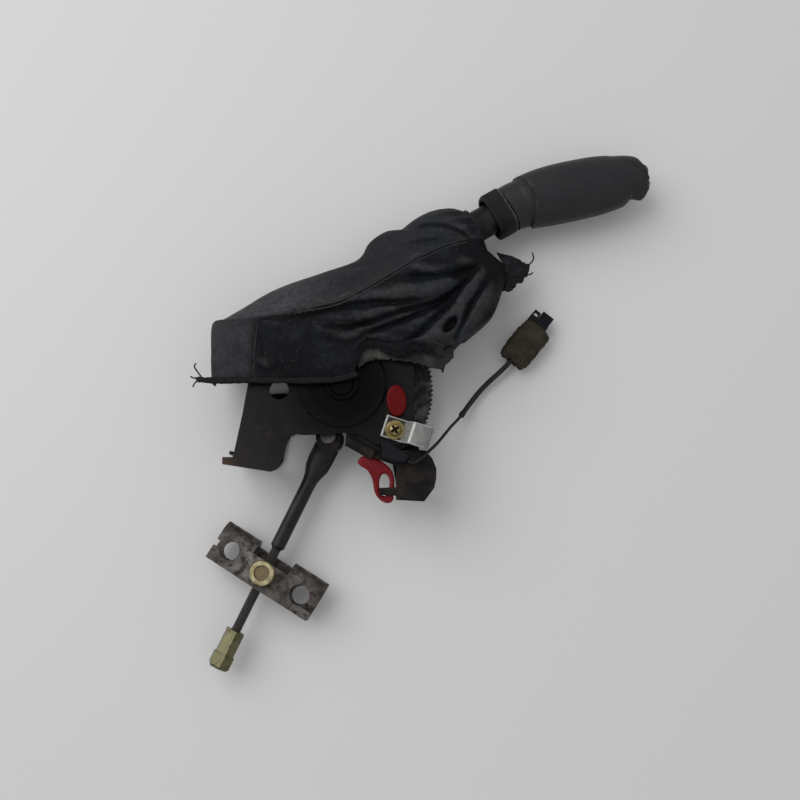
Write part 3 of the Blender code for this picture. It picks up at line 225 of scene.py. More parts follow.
FOAM_WIDE = 1.26                # the wrap lies flattened: this much wider than it is high
PLUG_BLOCKS = (                 # boxes of the plug: along its axis, across and upward, each from and to
    ((35.6, 41.4), (-6.2, 11.4), (-4.2, 4.2)), ((41.0, 49.2), (-5.6, 5.0), (-3.6, 3.6)),
    ((41.0, 46.4), (10.0, 11.4), (-2.4, 2.4)), ((41.0, 46.4), (5.4, 6.6), (-2.4, 2.4)),
    ((45.0, 46.6), (5.4, 11.4), (-2.4, 2.4)),
)

# Warning-lamp switch, repeated from the part's source
SWITCH_AT = (40.5, -35.3)
SWITCH_TURN = math.radians(-18.0)
SWITCH_SCREW_AT = (41.3, -36.6)
SWITCH_PROFILE = (              # place along the plate, height of its upper side, how bright it is painted there: painted highlights on the rim and the fold, painted shade in the dish, the cover's own paler tone
    (-8.3, 55.9, 1.0), (-7.6, 55.9, 0.9), (-6.9, 55.5, 0.0), (6.4, 55.5, 0.0), (8.2, 55.7, 0.2), (9.6, 56.6, 0.42),
    (13.8, 62.9, 0.5), (14.6, 63.6, 1.0), (15.6, 63.8, 0.4), (26.6, 63.8, 0.3), (27.6, 63.4, 0.45),
    (28.1, 62.4, 0.3), (28.2, 55.6, 0.2),
)
SWITCH_HALF = 8.8
SWITCH_SHEET = 1.2
SCREW_LEVEL = 57.5              # under side of the screw's head
SCREW_PROFILE = (
    (-13.0, 2.0), (-12.4, 2.4), (0.0, 2.4), (0.0, 4.9), (0.9, 5.0), (1.7, 4.7), (2.4, 3.9), (2.8, 2.6),
    (2.95, 0.0),
)
SCREW_HOLE = ((0.0, 2.8), (10.0, 2.8))
SCREW_HOLE_LEVEL = 50.0
CROSS_HALF = (1.0, 3.6)        # half width and half length of the screw's recess
CROSS_DEPTH = 2.6
CROSS_TURN = math.radians(32.0)


# Places and curves

def spot(places):
    """Lever-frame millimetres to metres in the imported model's frame."""
    return np.asarray(places, float) * MM + HINGE


def smooth_rows(rows, count):
    """Catmull-Rom curve through the rows of a table, read at even steps of its parameter."""
    rows = np.asarray(rows, float)
    step = np.linspace(0, len(rows) - 1, count)
    first = np.minimum(step.astype(int), len(rows) - 2)
    t = (step - first)[:, None]
    a = rows[np.maximum(first - 1, 0)]
    b = rows[first]
    c = rows[first + 1]
    d = rows[np.minimum(first + 2, len(rows) - 1)]
    return 0.5 * (2 * b + (c - a) * t + (2 * a - 5 * b + 4 * c - d) * t ** 2 + (3 * b - a - 3 * c + d) * t ** 3)


def even_steps(points, count):
    """The same polyline read at even steps of its length."""
    points = np.asarray(points, float)
    run = np.concatenate([[0.0], np.cumsum(np.linalg.norm(np.diff(points, axis=0), axis=1))])
    at = np.linspace(0, run[-1], count)
    return np.stack([np.interp(at, run, axis) for axis in points.T], axis=1)


def route_length(points):
    return float(np.linalg.norm(np.diff(points, axis=0), axis=1).sum())


def ease(share):
    """Smooth step from 0 at share 0 to 1 at share 1."""
    share = np.clip(share, 0.0, 1.0)
    return share * share * (3 - 2 * share)


def unit(vectors):
    return vectors / np.linalg.norm(vectors, axis=-1, keepdims=True)


def sweep(path, sections):
    """Carry sections[i, k] = (side, height) along a path; side is level and height stands square to both."""
    path = np.asarray(path, float)
    heading = unit(np.gradient(path, axis=0))
    side = unit(np.stack([-heading[:, 1], heading[:, 0], np.zeros(len(path))], axis=1))
    upward = np.cross(heading, side)
    return path[:, None] + sections[..., :1] * side[:, None] + sections[..., 1:] * upward[:, None]


def ovals(half_side, half_height, columns, power=1.0):
    """Rings of (side, height) points; power below 1 makes them squarer."""
    angle = np.linspace(0, 2 * math.pi, columns, endpoint=False)
    c = np.sign(np.cos(angle)) * np.abs(np.cos(angle)) ** power
    s = np.sign(np.sin(angle)) * np.abs(np.sin(angle)) ** power
    return np.stack([np.outer(half_side, c), np.outer(half_height, s)], axis=-1)


def axis_frame(start, direction):
    """Three unit vectors (level, upward, along) of a straight axis, and its start."""
    along = unit(np.asarray(direction, float))
    level = unit(np.cross((0.0, 0.0, 1.0), along))
    return np.asarray(start, float), level, np.cross(along, level), along


def upright_frame(place):
    """Axis frame at a place, with its axis straight up."""
    return (np.array(place), *np.eye(3))


def turned(profile, place, columns):
    """Solid of revolution: (height, radius) rows carried round an axis_frame."""
    start, level, upward, along = place
    profile = np.asarray(profile, float)
    angle = np.linspace(0, 2 * math.pi, columns, endpoint=False)
    ring = np.cos(angle)[:, None] * level + np.sin(angle)[:, None] * upward
    return start + profile[:, :1, None] * along + profile[:, 1:, None] * ring


def ripple(places, wavelength, count, seed):
    """Soft noise between -1 and 1: the mean of plane waves with random headings, phases and lengths."""
    draw = np.random.default_rng(seed)
    heading = draw.normal(size=(count, places.shape[-1]))
    heading = unit(heading) * (2 * math.pi / (wavelength * draw.uniform(0.6, 1.6, count)))[:, None]
    phase = draw.uniform(0, 2 * math.pi, count)
    return np.sin(places @ heading.T + phase).sum(-1) / math.sqrt(count)


# Meshes

def grid_mesh(name, grid, wrap=True):
    """Quads between the neighbours of a rows by columns grid of places in millimetres; wrap closes each row."""
    rows, columns = grid.shape[:2]
    number = np.arange(rows * columns).reshape(rows, columns)
    here = number if wrap else number[:, :-1]
    ahead = np.roll(number, -1, axis=1) if wrap else number[:, 1:]
    faces = np.stack([here[:-1], ahead[:-1], ahead[1:], here[1:]], axis=-1).reshape(-1, 4)
    mesh = bpy.data.meshes.new(name)
    mesh.from_pydata(spot(grid).reshape(-1, 3).tolist(), [], faces.tolist())
    return mesh


def close(mesh):
    """Merge seams and poles and turn the faces out."""
    work = bmesh.new()
    work.from_mesh(mesh)
    bmesh.ops.remove_doubles(work, verts=work.verts, dist=1e-6)
    bmesh.ops.dissolve_degenerate(work, dist=1e-7, edges=work.edges)
    bmesh.ops.recalc_face_normals(work, faces=work.faces)
    work.to_mesh(mesh)
    work.free()
    return mesh


def capped(grid):
    """A grid whose first and last rows are drawn in to a point, so that a tube is closed."""
    return np.concatenate([np.broadcast_to(grid[:1].mean(1, keepdims=True), grid[:1].shape), grid,
                           np.broadcast_to(grid[-1:].mean(1, keepdims=True), grid[-1:].shape)])


def set_values(mesh, name, values):
    """Store one number per vertex for the material."""
    layer = mesh.attributes.new(name, "FLOAT", "POINT")
    layer.data.foreach_set("value", np.asarray(values, np.float32).ravel())


def set_rest_place(mesh):
    """Store where each vertex rests, for the grain to be read from."""
    rest = np.empty(len(mesh.vertices) * 3, np.float32)
    mesh.vertices.foreach_get("co", rest)
    layer = mesh.attributes.new("rest_place", "FLOAT_VECTOR", "POINT")
    layer.data.foreach_set("vector", rest)


def link_piece(name, mesh, material, smooth=180.0):
    """Put a mesh in the scene with its material and its smoothing angle in degrees."""
    mesh.materials.append(material)
    mesh.shade_smooth()
    if smooth < 180.0:
        mesh.set_sharp_from_angle(angle=math.radians(smooth))
    piece = bpy.data.objects.new(name, mesh)
    bpy.context.collection.objects.link(piece)
    return piece


def thicken(piece, thickness):
    """Give a sheet its wall, on its inner side."""
    wall = piece.modifiers.new("wall", "SOLIDIFY")
    wall.thickness = thickness * MM
    wall.offset = -1.0
    wall.use_even_offset = False


def round_edges(piece, width):
    """Break the sharp edges of a hard piece; a wide edge is rounded in full, over the short sides of a curve."""
    wide = width > 1.0
    weld = piece.modifiers.new("weld", "WELD")
    weld.merge_threshold = 1e-6
    flatten = piece.modifiers.new("flat_faces", "DECIMATE")
    flatten.decimate_type = "DISSOLVE"
    flatten.angle_limit = math.radians(1.0)
    edge = piece.modifiers.new("round_edges", "BEVEL")
    edge.width = width * MM
    edge.segments = 5 if wide else 2
    edge.use_clamp_overlap = not wide
    edge.limit_method = "ANGLE"
    edge.angle_limit = math.radians(32)
    edge.harden_normals = True


# Node groups shared by the finishes

def new_group(name, inputs, outputs):
    group = bpy.data.node_groups.new(name, "ShaderNodeTree")
    for socket, kind in inputs:
        group.interface.new_socket(socket, in_out="INPUT", socket_type=kind)
    for socket, kind in outputs:
        group.interface.new_socket(socket, in_out="OUTPUT", socket_type=kind)
    return group, group.nodes.new("NodeGroupInput"), group.nodes.new("NodeGroupOutput")


FLOAT = "NodeSocketFloat"
VECTOR = "NodeSocketVector"


def patches_group():
    """Cloudy mask: noise cut at Cover with a soft edge."""
    group, given, result = new_group(
        "patches", [("Vector", VECTOR), ("Scale", FLOAT), ("Cover", FLOAT), ("Softness", FLOAT)], [("Mask", FLOAT)])
    noise = group.nodes.new("ShaderNodeTexNoise")
    noise.inputs["Detail"].default_value = 6.0
    noise.inputs["Roughness"].default_value = 0.62
    low = group.nodes.new("ShaderNodeMath")
    low.operation = "SUBTRACT"
    high = group.nodes.new("ShaderNodeMath")
    high.operation = "ADD"
    cut = group.nodes.new("ShaderNodeMapRange")
    cut.interpolation_type = "SMOOTHSTEP"
    link = group.links.new
    link(given.outputs["Vector"], noise.inputs["Vector"])
    link(given.outputs["Scale"], noise.inputs["Scale"])
    for edge in (low, high):
        link(given.outputs["Cover"], edge.inputs[0])
        link(given.outputs["Softness"], edge.inputs[1])
    link(noise.outputs["Fac"], cut.inputs["Value"])
    link(low.outputs[0], cut.inputs["From Min"])
    link(high.outputs[0], cut.inputs["From Max"])
    link(cut.outputs["Result"], result.inputs["Mask"])
    return group


def specks_group():
    """Small round specks: cells of a Voronoi pattern, of which only a share is kept."""
    group, given, result = new_group(
        "specks", [("Vector", VECTOR), ("Scale", FLOAT), ("Size", FLOAT), ("Share", FLOAT)], [("Mask", FLOAT)])
    cells = group.nodes.new("ShaderNodeTexVoronoi")
    dot = group.nodes.new("ShaderNodeMath")
    dot.operation = "LESS_THAN"
    split = group.nodes.new("ShaderNodeSeparateColor")
    kept = group.nodes.new("ShaderNodeMath")
    kept.operation = "LESS_THAN"
    both = group.nodes.new("ShaderNodeMath")
    both.operation = "MULTIPLY"
    link = group.links.new
    link(given.outputs["Vector"], cells.inputs["Vector"])
    link(given.outputs["Scale"], cells.inputs["Scale"])
    link(cells.outputs["Distance"], dot.inputs[0])
    link(given.outputs["Size"], dot.inputs[1])
    link(cells.outputs["Color"], split.inputs["Color"])
    link(split.outputs["Red"], kept.inputs[0])
    link(given.outputs["Share"], kept.inputs[1])
    link(dot.outputs[0], both.inputs[0])
    link(kept.outputs[0], both.inputs[1])
    link(both.outputs[0], result.inputs["Mask"])
    return group


def pebble_group():
    """Pebbled skin: rounded cells with fine noise on top, as a height."""
    group, given, result = new_group("pebble", [("Vector", VECTOR), ("Scale", FLOAT)], [("Height", FLOAT)])
    cells = group.nodes.new("ShaderNodeTexVoronoi")
    cells.feature = "SMOOTH_F1"
    cells.inputs["Smoothness"].default_value = 0.6
    noise = group.nodes.new("ShaderNodeTexNoise")
    noise.inputs["Detail"].default_value = 4.0
    sum_up = group.nodes.new("ShaderNodeMath")
    sum_up.operation = "MULTIPLY_ADD"
    sum_up.inputs[1].default_value = -0.8
    link = group.links.new
    for texture in (cells, noise):
        link(given.outputs["Vector"], texture.inputs["Vector"])
        link(given.outputs["Scale"], texture.inputs["Scale"])
    link(cells.outputs["Distance"], sum_up.inputs[0])
    link(noise.outputs["Fac"], sum_up.inputs[2])
    link(sum_up.outputs[0], result.inputs["Height"])
    return group


PATCHES = patches_group()
SPECKS = specks_group()
PEBBLE = pebble_group()


class Finish:
    """A Principled material under construction, with short ways to add masks, colours and bump."""

    def __init__(self, name, metallic=0.0, attribute=None):
        self.material = bpy.data.materials.new(name)
        self.material.use_nodes = True
        self.tree = self.material.node_tree
        self.shader = self.tree.nodes["Principled BSDF"]
        self.shader.inputs["Metallic"].default_value = metallic
        if attribute:
            self.place = self.read(attribute, "Vector")
        else:
            self.place = self.tree.nodes.new("ShaderNodeTexCoord").outputs["Object"]

    def read(self, attribute, output="Fac"):
        node = self.tree.nodes.new("ShaderNodeAttribute")
        node.attribute_name = attribute
        return node.outputs[output]

    def mask(self, group, output="Mask", **values):
        node = self.tree.nodes.new("ShaderNodeGroup")
        node.node_tree = group
        self.tree.links.new(self.place, node.inputs["Vector"])
        for socket, value in values.items():
            node.inputs[socket].default_value = value
        return node.outputs[output]

    def math(self, operation, first, second):
        node = self.tree.nodes.new("ShaderNodeMath")
        node.operation = operation
        node.use_clamp = True
        for socket, value in zip(node.inputs, (first, second)):
            if isinstance(value, (int, float)):
                socket.default_value = value
            else:
                self.tree.links.new(value, socket)
        return node.outputs[0]

    def colour(self, mask, first, second):
        """first where the mask is 0, second where it is 1; each a colour or another colour's socket."""
        node = self.tree.nodes.new("ShaderNodeMix")
        node.data_type = "RGBA"
        self.tree.links.new(mask, node.inputs["Factor"])
        for socket, value in ((node.inputs[6], first), (node.inputs[7], second)):
            if isinstance(value, tuple):
                socket.default_value = (*value, 1.0)
            else:
                self.tree.links.new(value, socket)
        return node.outputs[2]

    def between(self, mask, low, high):
        """A number that runs from low to high as the mask runs from 0 to 1."""
        node = self.tree.nodes.new("ShaderNodeMapRange")
        node.inputs["To Min"].default_value = low
        node.inputs["To Max"].default_value = high
        self.tree.links.new(mask, node.inputs["Value"])
        return node.outputs["Result"]

    def away_from(self, centre, near, far):
        """0 within near millimetres of an upright axis at that centre, 1 beyond far millimetres."""
        flatten = self.tree.nodes.new("ShaderNodeVectorMath")
        flatten.operation = "MULTIPLY"
        flatten.inputs[1].default_value = (1.0, 1.0, 0.0)
        self.tree.links.new(self.place, flatten.inputs[0])
        away = self.tree.nodes.new("ShaderNodeVectorMath")
        away.operation = "DISTANCE"
        away.inputs[1].default_value = (centre[0], centre[1], 0.0)
        self.tree.links.new(flatten.outputs[0], away.inputs[0])
        share = self.tree.nodes.new("ShaderNodeMapRange")
        share.inputs["From Min"].default_value = near * MM
        share.inputs["From Max"].default_value = far * MM
        self.tree.links.new(away.outputs["Value"], share.inputs["Value"])
        return share.outputs["Result"]

    def use(self, socket, value):
        self.tree.links.new(value, self.shader.inputs[socket])

    def bump(self, height, depth, strength=1.0):
        """Bump of that depth in millimetres."""
        node = self.tree.nodes.new("ShaderNodeBump")
        node.inputs["Distance"].default_value = depth * MM
        node.inputs["Strength"].default_value = strength
        self.tree.links.new(height, node.inputs["Height"])
        before = self.shader.inputs["Normal"].links
        if before:
            self.tree.links.new(before[0].from_socket, node.inputs["Normal"])
        self.tree.links.new(node.outputs["Normal"], self.shader.inputs["Normal"])


# Finishes

def black_paint(name="black_paint", rust=0.66, rust_colour=(0.028, 0.016, 0.011), hinge=None):
    """Thin black paint over steel, browned in patches, with pale dust.

    With a hinge it is darker round that hinge, lighter brown far from it and rusty at the far end.
    """
    f = Finish(name)
    f.shader.inputs["Specular IOR Level"].default_value = 0.1
    brown = f.mask(PATCHES, Scale=55.0, Cover=rust, Softness=0.12)
    colour = f.colour(brown, (0.0042, 0.0042, 0.0046), rust_colour)
    haze = f.mask(PATCHES, Scale=140.0, Cover=0.62, Softness=0.2)
    colour = f.colour(f.math("MULTIPLY", haze, 0.4), colour, (0.014, 0.0135, 0.013))
    if hinge is not None:
        # darker near the hinge, lighter brown far from it
        undarkened = f.away_from(hinge, *DARKENING_REACH)
        lightened = f.math("MULTIPLY", f.away_from(hinge, *BROWNING_REACH), f.between(haze, 0.35, 0.75))
        colour = f.colour(undarkened, (0.0016, 0.0016, 0.0018), colour)
        colour = f.colour(lightened, colour, (0.03, 0.0255, 0.0225))
        colour = f.colour(f.away_from(hinge, *RUST_REACH), colour, (0.062, 0.033, 0.023))
        f.use("Specular IOR Level", f.between(undarkened, 0.035, 0.1))
    dust = f.mask(SPECKS, Scale=520.0, Size=0.15, Share=0.02)
    f.use("Base Color", f.colour(f.math("MULTIPLY", dust, 0.4), colour, (0.2, 0.19, 0.18)))
    f.use("Roughness", f.between(haze, 0.34, 0.62))
    f.bump(f.mask(PEBBLE, "Height", Scale=700.0), 0.05)
    f.bump(brown, 0.08)
    return f.material


def steel(name, colour, light, rust_colour, rust, metallic=0.75, crest=None):
    """Bare steel: darker and lighter clouds, patches of rust, fine pits, and crests given by the mesh's tone."""
    f = Finish(name, metallic)
    f.shader.inputs["Specular IOR Level"].default_value = 0.3
    cloud = f.mask(PATCHES, Scale=95.0, Cover=0.52, Softness=0.2)
    base = f.colour(cloud, colour, light)
    rusty = f.mask(PATCHES, Scale=170.0, Cover=rust, Softness=0.08)
    base = f.colour(rusty, base, rust_colour)
    if crest:
        base = f.colour(f.read("tone"), base, crest)
    pits = f.mask(SPECKS, Scale=800.0, Size=0.3, Share=0.25)
    f.use("Base Color", f.colour(f.math("MULTIPLY", pits, 0.6), base, tuple(0.35 * c for c in rust_colour)))
    f.use("Roughness", f.between(rusty, 0.36, 0.75))
    f.use("Metallic", f.between(rusty, metallic, 0.15))
    f.bump(rusty, 0.08)
    f.bump(f.mask(PEBBLE, "Height", Scale=900.0), 0.05)
    return f.material


def zinc(name, colour, tint, dirt):
    """Plated steel with clouds of a second tint and dirt, and painted shade, near black, in recesses given by the
    mesh's tone.
    """
    f = Finish(name, 0.9)
    cloud = f.mask(PATCHES, Scale=150.0, Cover=0.5, Softness=0.22)
    base = f.colour(cloud, colour, tint)
    soil = f.mask(PATCHES, Scale=260.0, Cover=0.64, Softness=0.08)
    base = f.colour(soil, base, dirt)
    # painted shade: where the mesh's tone is 1 the colour drops to a fraction of the dirt's
    f.use("Base Color", f.colour(f.read("tone"), base, tuple(0.15 * c for c in dirt)))
    f.use("Roughness", f.between(cloud, 0.24, 0.42))
    f.bump(f.mask(PEBBLE, "Height", Scale=1100.0), 0.03)
    return f.material


def headed_zinc(centre, recess, rim):
    """Plated bolt head: brighter outside a darker middle, both measured from the bolt's axis."""
    f = Finish("headed_zinc", 0.9)
    outside = f.away_from(centre, recess, rim)
    cloud = f.mask(PATCHES, Scale=260.0, Cover=0.5, Softness=0.22)
    base = f.colour(cloud, (0.25, 0.21, 0.105), (0.47, 0.42, 0.26))
    f.use("Base Color", f.colour(outside, (0.17, 0.13, 0.075), base))
    f.use("Roughness", f.between(cloud, 0.22, 0.38))
    f.bump(f.mask(PEBBLE, "Height", Scale=1100.0), 0.03)
    return f.material


def switch_zinc():
    """Plate whose brightness follows the tone of the mesh: painted highlights on its edges, painted shade in the
    dish.
    """
    f = Finish("switch_zinc", 0.35)
    f.shader.inputs["Specular IOR Level"].default_value = 0.3
    cloud = f.mask(PATCHES, Scale=210.0, Cover=0.5, Softness=0.2)
    # painted light: the mesh's tone lifts the edges as painted highlights and leaves the dish dark as painted shade
    painted_light = f.math("MULTIPLY", f.read("tone"), f.between(cloud, 0.75, 1.0))
    base = f.colour(painted_light, (0.014, 0.0135, 0.0125), (0.53, 0.527, 0.515))
    specks = f.mask(SPECKS, Scale=620.0, Size=0.24, Share=0.2)
    f.use("Base Color", f.colour(f.math("MULTIPLY", specks, 0.35), base, (0.06, 0.055, 0.05)))
    f.use("Roughness", f.between(cloud, 0.4, 0.55))
    f.bump(f.mask(PEBBLE, "Height", Scale=800.0), 0.04)
    return f.material


def plastic_with_wear_and_highlight():
    """Black plastic, grey where the tone of the mesh is high: rubbed wear and a painted highlight along the rim's
    edge.
    """
    f = Finish("collar_plastic")
    f.shader.inputs["Specular IOR Level"].default_value = 0.12
    scuff = f.mask(PATCHES, Scale=300.0, Cover=0.46, Softness=0.2)
    # grey from the mesh's tone: wear, and a painted highlight on the collar's rim
    lightened = f.math("MULTIPLY", f.read("tone"), f.between(scuff, 0.3, 1.0))
    base = f.colour(f.math("MULTIPLY", scuff, 0.5), (0.0035, 0.0034, 0.0035), (0.009, 0.0083, 0.008))
    f.use("Base Color", f.colour(lightened, base, (0.085, 0.085, 0.09)))
    f.use("Roughness", f.between(scuff, 0.45, 0.65))
    f.bump(f.mask(PEBBLE, "Height", Scale=700.0), 0.06)
    return f.material


def moulded_plastic(name, colour, haze_colour, rough=(0.35, 0.55), grain=900.0, gloss=0.25):
    """Moulded plastic with a fine grain and a dusty haze."""
    f = Finish(name)
    f.shader.inputs["Specular IOR Level"].default_value = gloss
    haze = f.mask(PATCHES, Scale=70.0, Cover=0.58, Softness=0.22)
    base = f.colour(f.math("MULTIPLY", haze, 0.6), colour, haze_colour)
    dust = f.mask(SPECKS, Scale=560.0, Size=0.16, Share=0.02)
    f.use("Base Color", f.colour(f.math("MULTIPLY", dust, 0.3), base, (0.2, 0.195, 0.19)))
    f.use("Roughness", f.between(haze, *rough))
    f.bump(f.mask(PEBBLE, "Height", Scale=grain), 0.04)
    return f.material


def leather():
    """Black leather, pebbled, greyed along its crests as wear and painted highlight, lighter on its upper panel as
    sun fading and painted light, with dust and scuffs.
    """
    f = Finish("gaiter_leather", attribute="rest_place")
    f.shader.inputs["Specular IOR Level"].default_value = 0.09
    scuff = f.mask(PATCHES, Scale=240.0, Cover=0.52, Softness=0.2)
    # greyed on fold crests over darker valleys: rub wear and painted highlight
    worn = f.math("MULTIPLY", f.read("crest"), f.between(scuff, 0.45, 1.0))
    # lighter on the upper panel and the band's outer end: sun fading, and painted light where the panel faces the
    # lamp
    lightened = f.math("MULTIPLY", f.read("fade_and_painted_light"), f.between(scuff, 0.35, 0.8))
    base = f.colour(lightened, (0.0036, 0.0036, 0.005), (0.068, 0.0665, 0.074))
    base = f.colour(worn, base, (0.036, 0.036, 0.039))
    cool = f.mask(PATCHES, Scale=26.0, Cover=0.57, Softness=0.1)
    base = f.colour(f.math("MULTIPLY", cool, 0.4), base, (0.012, 0.018, 0.025))
    dust = f.mask(SPECKS, Scale=620.0, Size=0.22, Share=0.03)
    f.use("Base Color", f.colour(f.math("MULTIPLY", dust, 0.35), base, (0.2, 0.2, 0.2)))
    f.use("Roughness", f.between(scuff, 0.48, 0.7))
    f.bump(f.mask(PEBBLE, "Height", Scale=900.0), 0.2)
    f.bump(scuff, 0.12)
    return f.material


def lining():
    """Pale backing of the leather, fibrous and soiled."""
    f = Finish("gaiter_lining", attribute="rest_place")
    bare = f.mask(PATCHES, Scale=48.0, Cover=0.6, Softness=0.1)
    soil = f.mask(PATCHES, Scale=190.0, Cover=0.5, Softness=0.2)
    dark = f.colour(soil, (0.0105, 0.0105, 0.01), (0.004, 0.004, 0.0042))
    clean = f.math("MULTIPLY", bare, f.between(soil, 1.0, 0.3))
    f.use("Base Color", f.colour(clean, dark, (0.075, 0.073, 0.06)))
    f.shader.inputs["Roughness"].default_value = 0.9
    f.bump(f.mask(PEBBLE, "Height", Scale=1500.0), 0.25)
    return f.material


def thread(name, colour, light):
    """Dull sewing thread."""
    f = Finish(name)
    worn = f.mask(PATCHES, Scale=300.0, Cover=0.5, Softness=0.2)
    f.use("Base Color", f.colour(worn, colour, light))
    f.shader.inputs["Roughness"].default_value = 0.85
    return f.material


def foam():
    """Open foam, olive brown, dark in its pits and pale where rubbed."""
    f = Finish("foam", attribute="rest_place")
    f.shader.inputs["Specular IOR Level"].default_value = 0.15
    cells = f.mask(PEBBLE, "Height", Scale=620.0)
    cloud = f.mask(PATCHES, Scale=110.0, Cover=0.5, Softness=0.18)
    base = f.colour(cloud, (0.024, 0.02, 0.0135), (0.045, 0.037, 0.026))
    pits = f.mask(SPECKS, Scale=520.0, Size=0.3, Share=0.5)
    f.use("Base Color", f.colour(f.math("MULTIPLY", pits, 0.7), base, (0.008, 0.0065, 0.0045)))
    f.shader.inputs["Roughness"].default_value = 0.95
    f.bump(cells, 0.5)
    return f.material


PAINT = black_paint()
FOOT_PAINT = black_paint("foot_paint", 0.53, (0.022, 0.0145, 0.0105))
BRACKET_PAINT = black_paint("bracket_paint", hinge=HINGE)
HUB_PAINT = black_paint("hub_paint", 0.8, (0.009, 0.0085, 0.0085), HINGE)
TUBE_PAINT = black_paint("tube_paint", 0.55, (0.019, 0.019, 0.0225))
ROD_STEEL = steel("rod_steel", (0.0075, 0.007, 0.007), (0.0175, 0.0166, 0.0162), (0.012, 0.009, 0.0075),
                  0.64, 0.4, (0.11, 0.105, 0.1))
RATCHET_STEEL = steel("ratchet_steel", (0.012, 0.0118, 0.0115), (0.085, 0.083, 0.079), (0.018, 0.0155, 0.0125),
                      0.5, 0.4)
RAW_STEEL = steel("raw_steel", (0.037, 0.0325, 0.0305), (0.13, 0.118, 0.11), (0.024, 0.0143, 0.0106),
                  0.56, 0.55)
NUT_ZINC = zinc("nut_zinc", (0.075, 0.07, 0.034), (0.15, 0.141, 0.082), (0.024, 0.02, 0.011))
YELLOW_ZINC = zinc("yellow_zinc", (0.14, 0.104, 0.036), (0.27, 0.215, 0.1), (0.04, 0.029, 0.013))
CRIMSON = moulded_plastic("crimson_plastic", (0.12, 0.001, 0.0045), (0.22, 0.005, 0.018), (0.2, 0.34),
                          gloss=0.2)
DARK_RED = moulded_plastic("dark_red_plastic", (0.085, 0.001, 0.0015), (0.12, 0.003, 0.004), (0.3, 0.45),
                           gloss=0.09)
BLACK_PLASTIC = moulded_plastic("black_plastic", (0.0035, 0.0039, 0.0062), (0.009, 0.0096, 0.014), gloss=0.12)
GRIP_PLASTIC = moulded_plastic("grip_plastic", (0.011, 0.0117, 0.0133), (0.018, 0.0187, 0.0205), (0.4, 0.5),
                               1300.0)
COLLAR_PLASTIC = plastic_with_wear_and_highlight()
LEATHER = leather()
LINING = lining()
BLACK_THREAD = thread("black_thread", (0.003, 0.003, 0.0036), (0.009, 0.009, 0.01))
FOAM = foam()
SWITCH_ZINC = switch_zinc()
BOLT_LOW, BOLT_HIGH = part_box("trunnion")
HEADED_ZINC = headed_zinc((BOLT_LOW + BOLT_HIGH) / 2, 5.9, 6.4)
WIRE_SHEATH = moulded_plastic("wire_sheath", (0.007, 0.007, 0.0075), (0.02, 0.02, 0.02), (0.4, 0.6))


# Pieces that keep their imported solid

DRESSED = {
    "black_paint": (PAINT, 0.5, ("far_bracket_plate", "lever_cheek_near", "lever_cheek_far")),
    "bracket_paint": (BRACKET_PAINT, 0.5, ("near_bracket_plate",)),
    "tube_paint": (TUBE_PAINT, 0.5, ("lever_tube",)),
    "hub_paint": (HUB_PAINT, 0.5, ("pivot_boss", "pivot_pin")),
    "foot_paint": (FOOT_PAINT, 0.5, ("rear_foot_base", "front_foot_base", "front_foot")),
    "dark_steel": (RATCHET_STEEL, 0.25, ("ratchet_sector", "sector_pin_upper", "sector_pin_lower",
                                         "pivot_clip", "pivot_bush_near", "pivot_bush_far", "pawl", "pawl_pin",
                                         "clevis_pin", "clevis_spacer", "clevis_clip", "lever_rivet_1",
                                         "lever_rivet_2", "release_rod")),
    "rusty_steel": (RAW_STEEL, 0.6, ("equalizer_bar",)),
    "yellow_zinc": (YELLOW_ZINC, 0.3, ("switch_washer",)),
    "headed_zinc": (HEADED_ZINC, 0.2, ("trunnion",)),
    "nut_zinc": (NUT_ZINC, 0.3, ("adjuster_nut",)),
    "red_plastic": (CRIMSON, 1.6, ("red_clip",)),
    "cap_plastic": (DARK_RED, 1.6, ("red_cap",)),
    "black_plastic": (BLACK_PLASTIC, 1.2, ("switch_body", "switch_plunger")),
    "grip_plastic": (GRIP_PLASTIC, 0.5, ("release_button",)),
}


def dress_solids():
    """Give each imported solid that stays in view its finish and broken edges."""
    for material, edge, nodes in DRESSED.values():
        for name in nodes:
            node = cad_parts[name]
            node.data.materials.clear()
            node.data.materials.append(material)
            if "custom_normal" in node.data.attributes:
                node.data.attributes.remove(node.data.attributes["custom_normal"])
            node.data.shade_smooth()
            round_edges(node, edge)


# Gaiter

def line_distance(places, line):
    """Signed distance of flat places from a smooth line, positive on its left, and how far along it they lie."""
    line = smooth_rows(line, 48)
    run = np.diff(line, axis=0)
    offset = places[:, None] - line[:-1]
    share = np.clip((offset * run).sum(-1) / (run ** 2).sum(1), 0, 1)
    distance = np.linalg.norm(offset - share[..., None] * run, axis=-1)
    near = distance.argmin(1)
    every = np.arange(len(places))
    side = np.sign(run[near, 0] * offset[every, near, 1] - run[near, 1] * offset[every, near, 0])
    return side * distance[every, near], (near + share[every, near]) / len(run)


def fold_height(places, line, reach, lip, depth):
    """Height of one fold at flat places: a sharp valley along the line with a rounded lip on its left.

    With s the distance from the line, the valley is -depth * exp(-|s| / (0.36 reach)) and the lip is
    lip * (s / reach) * exp(1 - s / reach) where s is positive. Both fade out at the ends of the line.
    """
    s, at = line_distance(places, line)
    fade = ease(at / 0.25) * ease((1 - at) / 0.2)
    rise = np.clip(s, 0, None) / reach
    return fade * (lip * rise * np.exp(1 - rise) - depth * np.exp(-np.abs(s) / (0.36 * reach)))


def ridge_height(places, line, width, height):
    """A raised cord along a line: height * exp(-(s / width)^2)."""
    s, at = line_distance(places, line)
    return height * np.exp(-(s / width) ** 2) * ease(at / 0.05) * ease((1 - at) / 0.05)


